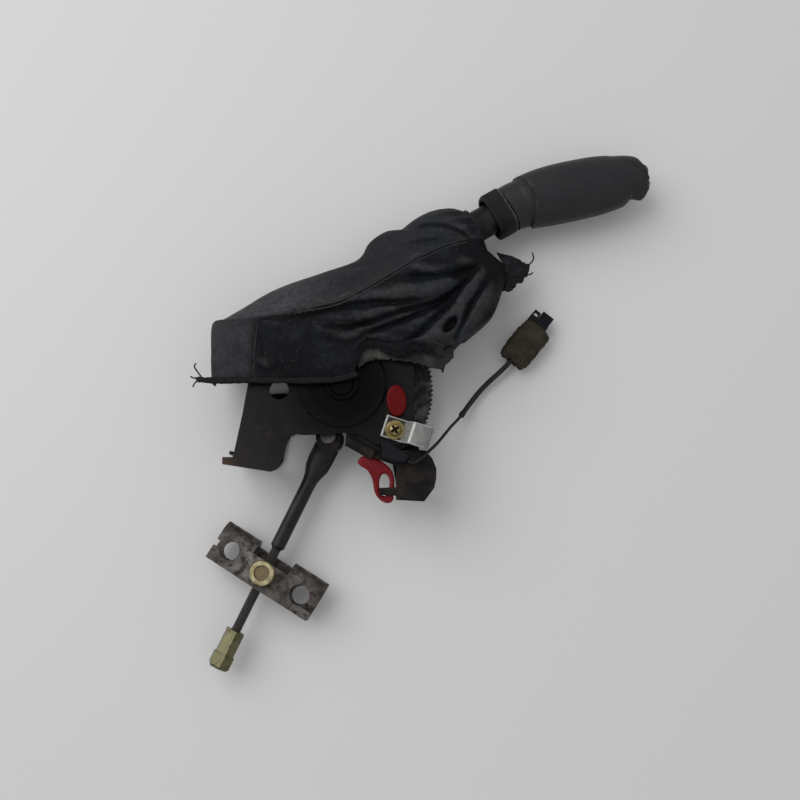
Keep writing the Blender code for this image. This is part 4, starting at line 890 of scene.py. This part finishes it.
def hole_depth(places):
    """Depth of the tear: an oval dent with steep sides, depth * exp(-r^6), r being 1 on the oval."""
    middle, turn, half, depth = TEAR_HOLE
    turn = math.radians(turn)
    offset = places - np.array(middle)
    along = offset @ np.array([math.cos(turn), math.sin(turn)]) / half[0]
    across = offset @ np.array([-math.sin(turn), math.cos(turn)]) / half[1]
    return depth * np.exp(-(along ** 2 + across ** 2) ** 3)


def gaiter_grid():
    """The gaiter's outer surface as rows from hem to neck, each a closed loop.

    A loop is middle + reach * sgn(c)|c|^q along its width and mid height + half height * sgn(s)|s|^q, where c and
    s are the cosine and sine of the angle round it, read at even steps of its length. The side facing up then gets
    its folds, its gathers at the neck and its torn hem.
    """
    rings = smooth_rows(GAITER_RINGS, GAITER_ROWS)
    angle = np.linspace(0, 2 * math.pi, 1441)
    c = np.cos(angle)
    s = np.sin(angle)
    power = rings[:, 6:7]
    along = np.sign(c) * np.abs(c) ** power
    upward = np.sign(s) * np.abs(s) ** power
    middle = (rings[:, 0:2] + rings[:, 2:4]) / 2
    reach = (rings[:, 2:4] - rings[:, 0:2]) / 2
    level = (rings[:, 4] + rings[:, 5]) / 2
    half = (rings[:, 5] - rings[:, 4]) / 2
    dense = np.concatenate([middle[:, None] + reach[:, None] * along[..., None],
                            (level[:, None] + half[:, None] * upward)[..., None]], axis=-1)
    turn = 720
    near = np.stack([even_steps(loop[:turn + 1], GAITER_NEAR + 1)[:-1] for loop in dense])
    far = np.stack([even_steps(loop[turn:], GAITER_FAR + 1)[:-1] for loop in dense])
    grid = np.concatenate([near, far], axis=1)
    up = (grid[..., 2] - level[:, None]) / half[:, None]
    share = np.linspace(0, 1, GAITER_ROWS)[:, None]
    facing = np.clip(up, 0, 1) ** 0.7
    flat = grid[..., :2].reshape(-1, 2)
    height = sum(fold_height(flat, *fold) for fold in FOLDS)
    height += fold_height(flat, SEAM, 3.2, 1.1, 1.6)
    height += ridge_height(flat, BAND_SEAM, 1.0, 0.8) - ridge_height(flat, BAND_SEAM, 2.4, 0.6)
    above, _ = line_distance(flat, PANEL_EDGE)
    fall = PANEL_DROP * (1 - np.exp(-PANEL_SLOPE * np.clip(above, 0, None) / PANEL_DROP))
    height -= fall * (1 - (1 - PANEL_LEFT) * ease((flat[:, 0] - PANEL_END[0]) / (PANEL_END[1] - PANEL_END[0])))
    band = 1 - ease((flat[:, 0] - BAND_END[0]) / (BAND_END[1] - BAND_END[0]))
    height -= BAND_SLOPE * band * np.clip(-above, 0, None)
    height -= hole_depth(flat)
    column = np.arange(GAITER_NEAR + GAITER_FAR)[None] / GAITER_NEAR
    gather = 1.3 * ease((share - 0.78) / 0.16) * np.sin(2 * math.pi * 7 * column + 14 * share)
    gather *= ease((1.02 - share) / 0.1)
    drawn = flat @ np.array([[0.35, -0.14], [0.36, 0.94]])
    crumple = 0.42 * ripple(drawn, 13.0, 9, 3) + 0.12 * ripple(flat, 5.0, 9, 4)
    relief = 1 - ease((share - NECK_FADE[0]) / (NECK_FADE[1] - NECK_FADE[0]))
    grid[..., 2] += facing * (relief * height.reshape(up.shape) + crumple.reshape(up.shape) + gather)
    tear_x, tear_y = np.array(HEM_TEAR).T
    rise = np.interp(grid[..., 0], tear_x, tear_y)
    rise = rise * (1 + 0.07 * ripple(grid[..., :1], 6.0, 5, 9))
    near_rise = np.clip(1 + up / NEAR_SIDE, 0, 1) * rise * (1 - ease(share / 0.14))
    far_rise = np.clip(-2.5 * up, 0, 1) * FAR_HEM_LIFT * (1 - ease(share / 0.2))
    grid[..., 1] += np.maximum(near_rise, far_rise)
    return grid


def crest_of(grid):
    """How far each point stands above the mean of its neighbours, from 0 to 1."""
    height = grid[..., 2]
    mean = height.copy()
    for _ in range(24):
        mean = (mean + np.roll(mean, 1, 1) + np.roll(mean, -1, 1)) / 3
        mean[1:-1] = (mean[:-2] + mean[1:-1] + mean[2:]) / 3
    return ease((height - mean - 0.25) / 1.2)


def fade_and_painted_light_of(grid):
    """Sun fading and painted light: the upper panel, which faces the lamp, and the outer end of the band, from 0 to
    1.
    """
    flat = grid[..., :2].reshape(-1, 2)
    above, _ = line_distance(flat, PANEL_EDGE)
    panel = ease(above / 3.0) * (0.3 + 0.7 * ease((10.0 - flat[:, 0]) / 60.0))
    end = 0.6 * ease((-62.0 - flat[:, 0]) / 14.0)
    return np.clip(np.maximum(panel, end), 0, 1).reshape(grid.shape[:2])


def bend_with_lever(piece):
    """Bake the piece's transform into its mesh."""
    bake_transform(piece)
    return piece


def add_gaiter():
    grid = gaiter_grid()
    mesh = grid_mesh("leather_gaiter", grid)
    # crest: rub wear and painted highlight along the fold tops
    set_values(mesh, "crest", crest_of(grid))
    # sun fading and painted light on the upper panel and the band's end
    set_values(mesh, "fade_and_painted_light", fade_and_painted_light_of(grid))
    set_rest_place(mesh)
    mesh.flip_normals()
    piece = link_piece("leather_gaiter", mesh, LEATHER)
    thicken(piece, GAITER_WALL)
    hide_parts("gaiter")
    bend_with_lever(piece)
    return piece, grid


def on_gaiter(grid, flat):
    """Places on the gaiter's upper side over flat (x, y) points, from the nearest point of its grid."""
    near = grid[:, :GAITER_NEAR].reshape(-1, 3)
    near = near[near[:, 2] > 20.0]
    flat = np.asarray(flat, float)
    nearest = ((flat[:, None] - near[None, :, :2]) ** 2).sum(-1).argmin(1)
    return np.concatenate([flat, near[nearest, 2:]], axis=1)


def stitch_row(grid, line, offset):
    """Stitches along a line on the gaiter: each a small capsule, its radius sqrt(1 - t^4) of the thread's."""
    line = smooth_rows(line, 60)
    heading = unit(np.gradient(line, axis=0))
    aside = line + offset * np.stack([-heading[:, 1], heading[:, 0]], axis=1)
    count = int(route_length(aside) / STITCH_PITCH)
    ends = on_gaiter(grid, even_steps(aside, 2 * count + 1))
    middle = ends[1::2]
    along = unit(ends[2::2] - ends[:-2:2])
    side = unit(np.cross((0.0, 0.0, 1.0), along))
    upward = np.cross(along, side)
    t = np.linspace(-1, 1, 7)
    radius = STITCH_RADIUS * np.sqrt(np.clip(1 - t ** 4, 0, 1))
    angle = np.linspace(0, 2 * math.pi, 6, endpoint=False)
    step = t[None, :, None, None] * STITCH_LENGTH / 2 * along[:, None, None]
    ring = radius[:, None, None] * np.cos(angle)[:, None] * side[:, None, None]
    ring = ring + radius[:, None, None] * np.sin(angle)[:, None] * upward[:, None, None]
    return middle[:, None, None] + step + ring + np.array([0.0, 0.0, 0.2])


def joined_mesh(name, grids, wrap=True):
    """One mesh of several equal grids."""
    first = grid_mesh(name, grids[0], wrap)
    work = bmesh.new()
    for grid in grids:
        part = grid_mesh(name, grid, wrap)
        work.from_mesh(part)
        bpy.data.meshes.remove(part)
    work.to_mesh(first)
    work.free()
    return close(first)


def add_stitches(grid):
    rows = [stitch_row(grid, SEAM, STITCH_OFFSET), stitch_row(grid, SEAM, -STITCH_OFFSET)]
    rows.append(stitch_row(grid, BAND_SEAM, -STITCH_OFFSET))
    mesh = joined_mesh("gaiter_stitches", np.concatenate(rows))
    return bend_with_lever(link_piece("gaiter_stitches", mesh, BLACK_THREAD))


def add_welts(grid):
    """Raised lips along the seams and the ridge: thin ovals carried along lines that lie on the gaiter."""
    pieces = []
    for number, (line, offset, half_width, half_thick, wear) in enumerate(WELTS, 1):
        line = smooth_rows(line, 160)
        heading = unit(np.gradient(line, axis=0))
        path = on_gaiter(grid, line + offset * np.stack([-heading[:, 1], heading[:, 0]], axis=1))
        for _ in range(30):
            path[1:-1, 2] = (path[:-2, 2] + path[1:-1, 2] + path[2:, 2]) / 3
        ends = ease(np.linspace(0, 1, 160) / 0.03) * ease(np.linspace(1, 0, 160) / 0.03)
        rings = ovals(half_width * ends, half_thick * ends, 10)
        pieces.append(leather_piece(f"welt_{number}", capped(sweep(path, rings)), wear))
    return pieces


def add_hem():
    """Turned hem along the lower edge: a flat oval strip with a ragged outline and a thin tip on the left."""
    path = smooth_rows(HEM_ROUTE, 170)
    start = np.linspace(0, 1, len(path))
    width = HEM_HALF[0] * (0.3 + 0.7 * ease(start / 0.1)) * (1 + 0.1 * ripple(path, 16.0, 8, 31))
    thick = HEM_HALF[1] * (0.5 + 0.5 * ease(start / 0.1)) * (1 + 0.12 * ripple(path, 12.0, 8, 32))
    rings = ovals(width, thick, 18, 0.8)
    rings = rings + 0.16 * ripple(rings * 2.0 + path[:, None, :2], 5.0, 10, 33)[..., None]
    return leather_piece("turned_hem", capped(sweep(path, rings)), 0.06)


def leather_piece(name, grid, wear, wrap=True, material=LEATHER):
    """A small piece of the gaiter with an even share of wear."""
    mesh = grid_mesh(name, grid, wrap)
    if wrap:
        close(mesh)
    # both marks take the piece's wear: it greys the piece as wear and painted light
    set_values(mesh, "crest", np.full(len(mesh.vertices), wear))
    set_values(mesh, "fade_and_painted_light", np.full(len(mesh.vertices), wear))
    set_rest_place(mesh)
    return bend_with_lever(link_piece(name, mesh, material))


def add_lining():
    """Torn backing that shows below the leather: a strip between two edge lines, curled along its lower one."""
    low = smooth_rows(LINING_LOW, 90)
    high = smooth_rows(LINING_HIGH, 90)
    across = np.linspace(0, 1, 18)[:, None, None]
    low = low + 0.9 * np.stack([ripple(low, 5.0, 8, 41), ripple(low, 3.2, 8, 42)], axis=1)
    flat = low * (1 - across) + high * across
    level = LINING_Z[0] + (LINING_Z[1] - LINING_Z[0]) * across[..., 0]
    curl = 1.8 * np.exp(-across[..., 0] / 0.1)
    height = level + curl + 0.5 * ripple(flat, 14.0, 8, 43)
    grid = np.concatenate([flat, height[..., None]], axis=-1)
    piece = leather_piece("torn_lining", grid, 0.0, False, LINING)
    thicken(piece, 0.8)
    return piece


def add_tab():
    """Torn flap on the right: a sheet between its root on the gaiter and a ragged edge."""
    root = smooth_rows(TAB_ROOT, 40)
    edge = smooth_rows(TAB_EDGE, 40) + 1.5 * np.stack([ripple(smooth_rows(TAB_EDGE, 40), 6.0, 8, seed)
                                                       for seed in (51, 52, 53)], axis=1)
    across = np.linspace(0, 1, 20)[:, None, None]
    grid = root * (1 - across) + edge * across
    grid[..., 2] += 1.1 * ripple(grid, 9.0, 8, 54) + 3.0 * np.sin(math.pi * across[..., 0])
    piece = leather_piece("torn_tab", grid, 0.15, False)
    thicken(piece, GAITER_WALL)
    return piece


def add_neck_rim(grid):
    """Raw edge of the gaiter round the tube: a thin lumpy ring along its last loop."""
    loop = grid[-1]
    middle = loop.mean(0)
    along = unit(middle - grid[-12].mean(0))
    outward = unit(loop - middle)
    angle = np.linspace(0, 2 * math.pi, 12, endpoint=False)[:, None, None]
    radius = 1.1 * (1 + 0.25 * ripple(loop, 5.0, 8, 61))[:, None]
    ring = loop + radius * (np.cos(angle) * along + np.sin(angle) * outward)
    closed = np.concatenate([ring, ring[:1]])
    return leather_piece("neck_rim", closed, 0.3)


def add_frays():
    """Loose threads at the torn edges: thin round sweeps."""
    count = 16
    section = ovals(np.full(count, FRAY_RADIUS), np.full(count, FRAY_RADIUS), 6)
    grids = [capped(sweep(smooth_rows(route, count), section)) for route in FRAYED_THREADS]
    mesh = joined_mesh("frayed_threads", grids)
    return bend_with_lever(link_piece("frayed_threads", mesh, BLACK_THREAD))


# Lever

def add_grip():
    """Moulded grip: ovals along the tube's curve, with a lip at the tube, a stepped neck and a button well."""
    sections = smooth_rows(GRIP_SECTIONS, 260)
    mouth = sections[:1] + np.array([[3.0, 1.6, 0.0, 0.0]])
    inner = np.concatenate([mouth, sections[:1]])
    inner[:, 2:] = GRIP_BORE
    lip = sections[:1] * np.array([[1.0, 1.0, 0.93, 0.93]])
    tip = sections[-1:] * np.array([[1.0, 1.0, 0.0, 0.0]]) + np.array([[0.9, -0.2, 0.0, 0.0]])
    sections = np.concatenate([inner, lip, sections, tip])
    path = np.column_stack([sections[:, :2], np.full(len(sections), MID)])
    rings = ovals(sections[:, 2], sections[:, 3], 96, 0.92)
    height = np.abs(rings[..., 1]) / np.maximum(sections[:, 3:4], 0.1)
    edge = GRIP_STEP_AT + GRIP_STEP_BULGE * height ** 1.5
    past = sections[:, :1] - edge
    shrink = 1 - GRIP_STEP_DEPTH * (1 - ease(past / 0.9 + 0.5)) - 0.035 * np.exp(-((past + 1.0) / 0.6) ** 2)
    shrink[:2] = 1.0
    grid = sweep_level(path, rings * shrink[..., None])
    upper = np.clip((grid[..., 2] - MID) / np.maximum(sections[:, 3:4], 1.0), 0, 1)
    flat = grid[..., :2].reshape(-1, 2)
    dents = sum(fold_height(flat, *crease) for crease in GRIP_CREASES).reshape(upper.shape)
    grid[..., 2] += upper * dents
    tip_y, tip_x = np.array(GRIP_TIP).T
    limit = np.interp(grid[..., 1], tip_y, tip_x) - 4.0 * ((grid[..., 2] - MID) / 15.0) ** 2
    grid[..., 0] -= 0.92 * np.clip(grid[..., 0] - limit, 0, None)
    mesh = close(grid_mesh("hand_grip", grid))
    piece = link_piece("hand_grip", mesh, GRIP_PLASTIC, 50.0)
    cut_button_well(piece)
    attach(piece, "lever")
    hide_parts("grip")
    return piece


def sweep_level(path, sections):
    """Sweep along a level path whose first rows double back, with the heading of the path as a whole."""
    steady = path.copy()
    steady[0] = path[3] - 3 * (path[5] - path[3])
    steady[1] = path[3] - 2 * (path[5] - path[3])
    steady[2] = path[3] - (path[5] - path[3])
    heading = unit(np.gradient(steady, axis=0))
    side = np.stack([-heading[:, 1], heading[:, 0], np.zeros(len(path))], axis=1)
    upward = np.array([0.0, 0.0, 1.0])
    return path[:, None] + sections[..., :1] * side[:, None] + sections[..., 1:] * upward


def cut_away(piece, cutter_mesh, smooth):
    """Take a closed mesh out of a piece for good."""
    cutter = bpy.data.objects.new("cutter", cutter_mesh)
    bpy.context.collection.objects.link(cutter)
    piece.modifiers.new("cut", "BOOLEAN").object = cutter
    depsgraph = bpy.context.evaluated_depsgraph_get()
    result = bpy.data.meshes.new_from_object(piece.evaluated_get(depsgraph))
    piece.modifiers.clear()
    piece.data = result
    result.set_sharp_from_angle(angle=math.radians(smooth))
    bpy.data.objects.remove(cutter, do_unlink=True)


def cut_button_well(piece):
    """Bore the button's well into the tip of the grip; its mouth is twice as tall as it is wide."""
    ledge, mouth = BUTTON_MOUTH
    profile = [(-30.0, BUTTON_WELL), (ledge, BUTTON_WELL), (ledge + 0.3, mouth), (30.0, mouth)]
    bore = turned(profile, axis_frame((*BUTTON_AT, MID), (*BUTTON_DIR, 0.0)), 48)
    bore[2:, :, 2] += bore[2:, :, 2] - MID
    cut_away(piece, close(grid_mesh("button_well", capped(bore))), 40.0)


def add_collar():
    """Eight-sided ring, open towards the tube: (axial, inset, wear) rows carried round a rounded octagon; the wear
    greys the rim as wear and painted highlight.

    The outline's radius is the p-norm of the box and of the box turned by an eighth, with p = 8.
    """
    heading = (math.cos(TUBE_SLOPE), math.sin(TUBE_SLOPE), 0.0)
    place, level, upward, along = axis_frame((*COLLAR_AT, MID), heading)
    angle = np.linspace(0, 2 * math.pi, 96, endpoint=False)
    c = np.cos(angle)
    s = np.sin(angle)
    wide, tall = COLLAR_HALF
    corner = 1.16 * (wide + tall) / 2
    bound = np.abs(c / wide) ** 8 + np.abs(s / tall) ** 8
    bound += np.abs((c + s) / (math.sqrt(2) * corner)) ** 8 + np.abs((c - s) / (math.sqrt(2) * corner)) ** 8
    outline = bound ** -0.125
    bore = np.full_like(outline, GRIP_BORE)
    rim = [(8.0, 2.6, 0.2), (8.2, 1.5, 0.5), (7.8, 0.5, 1.0), (7.0, 0.0, 0.8), (6.0, 0.0, 0.1), (-6.0, 0.0, 0.0),
           (-7.6, 0.8, 0.1), (-8.2, 2.2, 0.15), (-7.9, 3.2, 0.05), (-2.4, 4.2, 0.0)]
    rows = [(axial, np.maximum(outline - inset, bore + 0.2)) for axial, inset, _ in rim]
    rows += [(-2.2, bore), (8.0, bore), rows[0]]
    tone = [worn for _, _, worn in rim] + [0.0, 0.0, rim[0][2]]
    ring = np.cos(angle)[:, None] * level + np.sin(angle)[:, None] * upward
    grid = np.stack([place + axial * along + radius[:, None] * ring for axial, radius in rows])
    mesh = grid_mesh("grip_collar_ring", grid)
    # tone: wear and painted highlight along the rim
    set_values(mesh, "tone", np.repeat(tone, len(angle)))
    piece = link_piece("grip_collar_ring", close(mesh), COLLAR_PLASTIC, 40.0)
    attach(piece, "lever")
    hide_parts("grip_collar")


# Pull rod

def rod_spot(distance):
    """Points on the rod's axis at distances from the clevis pin."""
    distance = np.asarray(distance, float)
    return np.stack([CLEVIS_AT[0] + ROD_DIR[0] * distance, CLEVIS_AT[1] + ROD_DIR[1] * distance,
                     np.full_like(distance, ROD_Z)], axis=-1)


def add_pull_rod():
    """Flattened neck drawn into a round shank, then a thread.

    Half width and half thickness run along the rod in eased steps. On the thread the radius is the outer radius less
    a triangle wave of distance / pitch - angle / turn.
    """
    table = np.array([(6.0, 10.2, 3.4), (18.0, 10.1, 3.5), (25.0, 9.4, 3.8), (31.0, 7.2, 4.8), (36.0, 6.0, 5.6),
                      (42.0, ROD_R, ROD_R), (70.0, ROD_R, ROD_R), (ROD_SHOULDER, ROD_R, ROD_R),
                      (ROD_SHOULDER + 1.4, THREAD_R, THREAD_R)])
    turns = (ROD_END - ROD_SHOULDER) / THREAD_PITCH
    thread_at = np.linspace(ROD_SHOULDER + 1.8, ROD_END, int(turns * 8))
    taper = np.where(thread_at > ROD_END - 1.2, THREAD_R - 0.8, THREAD_R)
    at = np.concatenate([np.linspace(6.0, ROD_SHOULDER, 90), [ROD_SHOULDER + 1.4], thread_at])
    half_w = np.concatenate([np.interp(at[:91], table[:, 0], table[:, 1]), taper])
    half_t = np.concatenate([np.interp(at[:91], table[:, 0], table[:, 2]), taper])
    columns = 32
    rings = ovals(half_w, half_t, columns, 0.9)
    phase = at[:, None] / THREAD_PITCH - np.arange(columns)[None] / columns
    groove = THREAD_DEPTH * np.abs(2 * (phase % 1.0) - 1)
    cut = np.where(at[:, None] > ROD_SHOULDER + 2.0, 1 - groove / THREAD_R, 1.0)
    grid = sweep(rod_spot(at), rings * cut[..., None])
    crest = np.where(at[:, None] > ROD_SHOULDER + 2.0, ease(1.4 - 2.0 * groove / THREAD_DEPTH), 0.0)
    mesh = grid_mesh("rod_shank", capped(grid))
    set_values(mesh, "tone", capped(crest[..., None]))
    piece = link_piece("rod_shank", close(mesh), ROD_STEEL, 50.0)
    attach(piece, "rod")
    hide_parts("pull_rod")
    profile = [(-3.5, CLEVIS_BORE), (-3.5, 10.2), (-3.0, 10.8), (-2.2, ROD_EYE), (2.2, ROD_EYE), (3.0, 10.8),
               (3.5, 10.2), (3.5, CLEVIS_BORE), (-3.5, CLEVIS_BORE)]
    ring = turned(profile, upright_frame((*CLEVIS_AT, ROD_Z)), 56)
    eye = link_piece("rod_eye", close(grid_mesh("rod_eye", ring)), ROD_STEEL, 40.0)
    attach(eye, "rod")


# Springs

def add_spring(name, start, direction, reach, radius, wire, turns, fixed, moving):
    """Coil spring: round wire carried along a helix."""
    start, level, upward, along = axis_frame(start, direction)
    share = np.linspace(0, 1, 24 * turns + 1)[:, None]
    angle = 2 * math.pi * turns * share
    outward = np.cos(angle) * level + np.sin(angle) * upward
    path = start + (reach[0] + (reach[1] - reach[0]) * share) * along + radius * outward
    round_wire = np.linspace(0, 2 * math.pi, 8, endpoint=False)[:, None]
    grid = path[:, None] + wire * (np.cos(round_wire) * outward[:, None] + np.sin(round_wire) * along)
    coil = close(grid_mesh(f"{name}_coil", capped(grid)))
    piece = link_piece(f"{name}_coil", coil, RATCHET_STEEL)
    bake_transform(piece)
    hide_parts(name)


# Warning-lamp switch

def add_switch_plate():
    """Bent plate: the profile's rows carried across its width, with a rolled edge painted bright as a highlight and
    a screw hole.
    """
    rows = even_steps(SWITCH_PROFILE, 90)
    across = np.linspace(-SWITCH_HALF, SWITCH_HALF, 41)
    rim = np.exp(-((SWITCH_HALF - np.abs(across)) / 0.7) ** 2)
    heading = np.array([math.cos(SWITCH_TURN), math.sin(SWITCH_TURN)])
    side = np.array([-heading[1], heading[0]])
    flat = np.array(SWITCH_AT) + rows[:, None, :1] * heading + across[None, :, None] * side
    height = rows[:, None, 1] + 0.35 * rim + 0.1 * ripple(flat, 7.0, 8, 71)
    mesh = grid_mesh("switch_plate", np.concatenate([flat, height[..., None]], axis=-1), False)
    # tone: painted light from the profile, and a painted highlight along the rolled side edges
    set_values(mesh, "tone", np.maximum(rows[:, None, 2], 0.8 * rim))
    piece = link_piece("switch_plate", mesh, SWITCH_ZINC)
    thicken(piece, SWITCH_SHEET)
    hole = turned(SCREW_HOLE, upright_frame((*SWITCH_SCREW_AT, SCREW_HOLE_LEVEL)), 32)
    cut_away(piece, close(grid_mesh("screw_hole", capped(hole))), 40.0)
    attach(piece, "base")
    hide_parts("switch_bracket")


def add_screw():
    """Pan-head screw: a turned form with a recess, a quarter of a cross's outline turned four times."""
    head = turned(SCREW_PROFILE, upright_frame((*SWITCH_SCREW_AT, SCREW_LEVEL)), 48)
    mesh = close(grid_mesh("pan_head_screw", capped(head)))
    piece = link_piece("pan_head_screw", mesh, YELLOW_ZINC, 40.0)
    half, reach = CROSS_HALF
    quarter = np.array([(reach, -half), (reach, half), (half, half)])
    turn = CROSS_TURN + np.arange(4)[:, None] * math.pi / 2
    outline = np.stack([np.cos(turn) * quarter[:, 0] - np.sin(turn) * quarter[:, 1],
                        np.sin(turn) * quarter[:, 0] + np.cos(turn) * quarter[:, 1]], axis=-1).reshape(-1, 2)
    top = SCREW_LEVEL + SCREW_PROFILE[-1][0]
    cross = np.stack([np.column_stack([outline + SWITCH_SCREW_AT, np.full(len(outline), level)])
                      for level in (top - CROSS_DEPTH, top + 2.0)])
    cut_away(piece, close(grid_mesh("cross_recess", capped(cross))), 40.0)
    # the floor of the cross gets tone 1, which the finish paints dark as painted shade
    places = np.empty(3 * len(piece.data.vertices))
    piece.data.vertices.foreach_get("co", places)
    above_floor = places[2::3] / MM - (top - CROSS_DEPTH)
    set_values(piece.data, "tone", (np.abs(above_floor) < 0.1).astype(float))
    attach(piece, "base")
    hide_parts("switch_screw")


# Switch lead

def cord_curve(name, route, diameter, material):
    """A round cord as one open poly spline, and its points in metres."""
    points = spot(even_steps(smooth_rows(route, 240), 90))
    curve = bpy.data.curves.new(name, "CURVE")
    curve.dimensions = "3D"
    curve.bevel_depth = diameter * MM / 2
    curve.bevel_resolution = 5
    curve.use_fill_caps = True
    spline = curve.splines.new("POLY")
    spline.points.add(len(points) - 1)
    spline.points.foreach_set("co", np.column_stack([points, np.ones(len(points))]).ravel())
    spline.use_smooth = True
    curve.materials.append(material)
    piece = bpy.data.objects.new(name, curve)
    bpy.context.collection.objects.link(piece)
    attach(piece, "base")
    return piece, points


def add_foam():
    """Foam strip wound round the plug: a turned form with a lapped edge and a lumpy skin."""
    start = np.array(SLEEVE_ROUTE[-1]) + 0.3 * np.array(FOAM_DIR)
    profile = smooth_rows(FOAM_STEPS, 60)
    profile = np.concatenate([[(0.0, 2.4)], profile, [(FOAM_STEPS[-1][0], 5.0)]])
    grid = turned(profile, axis_frame(start, FOAM_DIR), 90)
    axis = start + profile[:, :1] * np.array(FOAM_DIR)
    arm = grid - axis[:, None]
    angle = np.linspace(0, 1, 90, endpoint=False)
    lap = FOAM_LAP * ((angle + 0.35) % 1.0)
    lumps = 0.28 * ripple(grid, 6.0, 12, 21) + 0.16 * ripple(grid, 2.6, 14, 22)
    radius = np.linalg.norm(arm, axis=-1)
    scale = 1 + (lumps - FOAM_LAP + lap[None]) / np.maximum(radius, 3.0)
    _, level, _, _ = axis_frame(start, FOAM_DIR)
    arm = arm * scale[..., None]
    arm = arm + (FOAM_WIDE - 1) * (arm @ level)[..., None] * level
    fray = 1.5 * ripple(grid, 4.0, 10, 23) * np.exp(-profile[:, :1] / 3.0) * (radius > 5.0)
    mesh = close(grid_mesh("foam_sleeve", capped(axis[:, None] + arm + fray[..., None] * np.array(FOAM_DIR))))
    set_rest_place(mesh)
    piece = link_piece("foam_sleeve", mesh, FOAM)
    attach(piece, "base")
    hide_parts("foam_wrap")
    return piece


def box_mesh(name, boxes, place):
    """Boxes given by their ends along, across and upward of an axis frame, as one mesh of separate shells."""
    start, level, upward, along = place
    ends = np.array(boxes, float)
    pick = np.array([(a, b, c) for a in (0, 1) for b in (0, 1) for c in (0, 1)])
    reach = ends[:, np.arange(3)[None], pick]
    corners = start + reach @ np.stack([along, level, upward])
    sides = np.array([(0, 1, 3, 2), (4, 6, 7, 5), (0, 4, 5, 1), (2, 3, 7, 6), (0, 2, 6, 4), (1, 5, 7, 3)])
    faces = (sides[None] + 8 * np.arange(len(ends))[:, None, None]).reshape(-1, 4)
    mesh = bpy.data.meshes.new(name)
    mesh.from_pydata(spot(corners).reshape(-1, 3).tolist(), [], faces.tolist())
    return close(mesh)


def add_plug():
    """Plug in the foam: its housing, a latch loop with a square window and the mating tab."""
    place = axis_frame(SLEEVE_ROUTE[-1], FOAM_DIR)
    blocks = box_mesh("plug_housing", PLUG_BLOCKS, place)
    piece = link_piece("plug_housing", blocks, BLACK_PLASTIC, 30.0)
    edge = piece.modifiers.new("round_edges", "BEVEL")
    edge.width = 0.4 * MM
    edge.segments = 2
    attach(piece, "base")
    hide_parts("connector")
    return piece


def add_sleeve_cuff():
    """Shrunk cuff where the bare wire goes into its sleeve: a short turned ring with rounded ends."""
    route = np.array(SLEEVE_ROUTE[:2])
    place = axis_frame(route[0], route[1] - route[0])
    bore = WIRE_D / 2 - 0.1
    outer = SLEEVE_D / 2 + 0.35
    profile = [(-1.6, bore), (-1.5, outer - 0.5), (-1.0, outer), (2.4, outer), (2.9, outer - 0.4), (2.9, bore),
               (-1.6, bore)]
    piece = link_piece("sleeve_cuff", close(grid_mesh("sleeve_cuff", turned(profile, place, 32))), WIRE_SHEATH,
                       50.0)
    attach(piece, "base")
    return piece


def add_lead():
    wire, wire_points = cord_curve("bare_lead", LEAD_ROUTE, WIRE_D, WIRE_SHEATH)
    sleeve, sleeve_points = cord_curve("sleeved_lead", SLEEVE_ROUTE, SLEEVE_D, WIRE_SHEATH)
    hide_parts("switch_lead")
    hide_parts("lead_sleeve")
    foam_piece = add_foam()
    add_sleeve_cuff()
    add_plug()


# Table, light and camera

def add_table():
    """A broad pale table top."""
    mesh = bpy.data.meshes.new("table_top")
    half = FLOOR_SIZE / 2
    corners = [(-half, -half, 0), (half, -half, 0), (half, half, 0), (-half, half, 0)]
    mesh.from_pydata(corners, [], [(0, 1, 2, 3)])
    f = Finish("table_paint")
    f.shader.inputs["Base Color"].default_value = (*FLOOR_COLOUR, 1.0)
    f.shader.inputs["Roughness"].default_value = 0.6
    mesh.materials.append(f.material)
    table = bpy.data.objects.new("table_top", mesh)
    bpy.context.collection.objects.link(table)


def add_light():
    """A large soft lamp at the upper left and an even sky."""
    world = bpy.data.worlds.new("studio")
    world.use_nodes = True
    sky = world.node_tree.nodes["Background"]
    sky.inputs["Color"].default_value = (1.0, 1.0, 1.0, 1.0)
    sky.inputs["Strength"].default_value = WORLD_STRENGTH
    bpy.context.scene.world = world
    data = bpy.data.lights.new("key", "AREA")
    data.shape = "DISK"
    data.size = KEY_SIZE
    data.energy = KEY_POWER
    key = bpy.data.objects.new("key", data)
    key.location = KEY_PLACE
    aim = -np.array(KEY_PLACE)
    key.rotation_euler = (math.acos(-aim[2] / np.linalg.norm(aim)), 0.0, math.atan2(-aim[0], aim[1]))
    bpy.context.collection.objects.link(key)


def add_camera():
    data = bpy.data.cameras.new("photo_camera")
    data.lens = CAMERA_LENS
    camera = bpy.data.objects.new("photo_camera", data)
    tilt = math.radians(CAMERA_ELEVATION)
    target = spot(CAMERA_TARGET)
    camera.location = target + CAMERA_DISTANCE * MM * np.array([0.0, -math.cos(tilt), math.sin(tilt)])
    camera.rotation_euler = (math.radians(90) - tilt, 0.0, 0.0)
    bpy.context.collection.objects.link(camera)
    bpy.context.scene.camera = camera
    bpy.context.scene.view_settings.view_transform = "Standard"


add_table()
add_light()
add_camera()
dress_solids()
GAITER, GAITER_GRID = add_gaiter()
GAITER_TRIM = [add_stitches(GAITER_GRID), add_hem(), add_lining(), add_tab(), add_neck_rim(GAITER_GRID),
               add_frays(), *add_welts(GAITER_GRID)]
add_grip()
add_collar()
add_pull_rod()
for spring in SPRINGS:
    add_spring(*spring)
add_switch_plate()
add_screw()
add_lead()
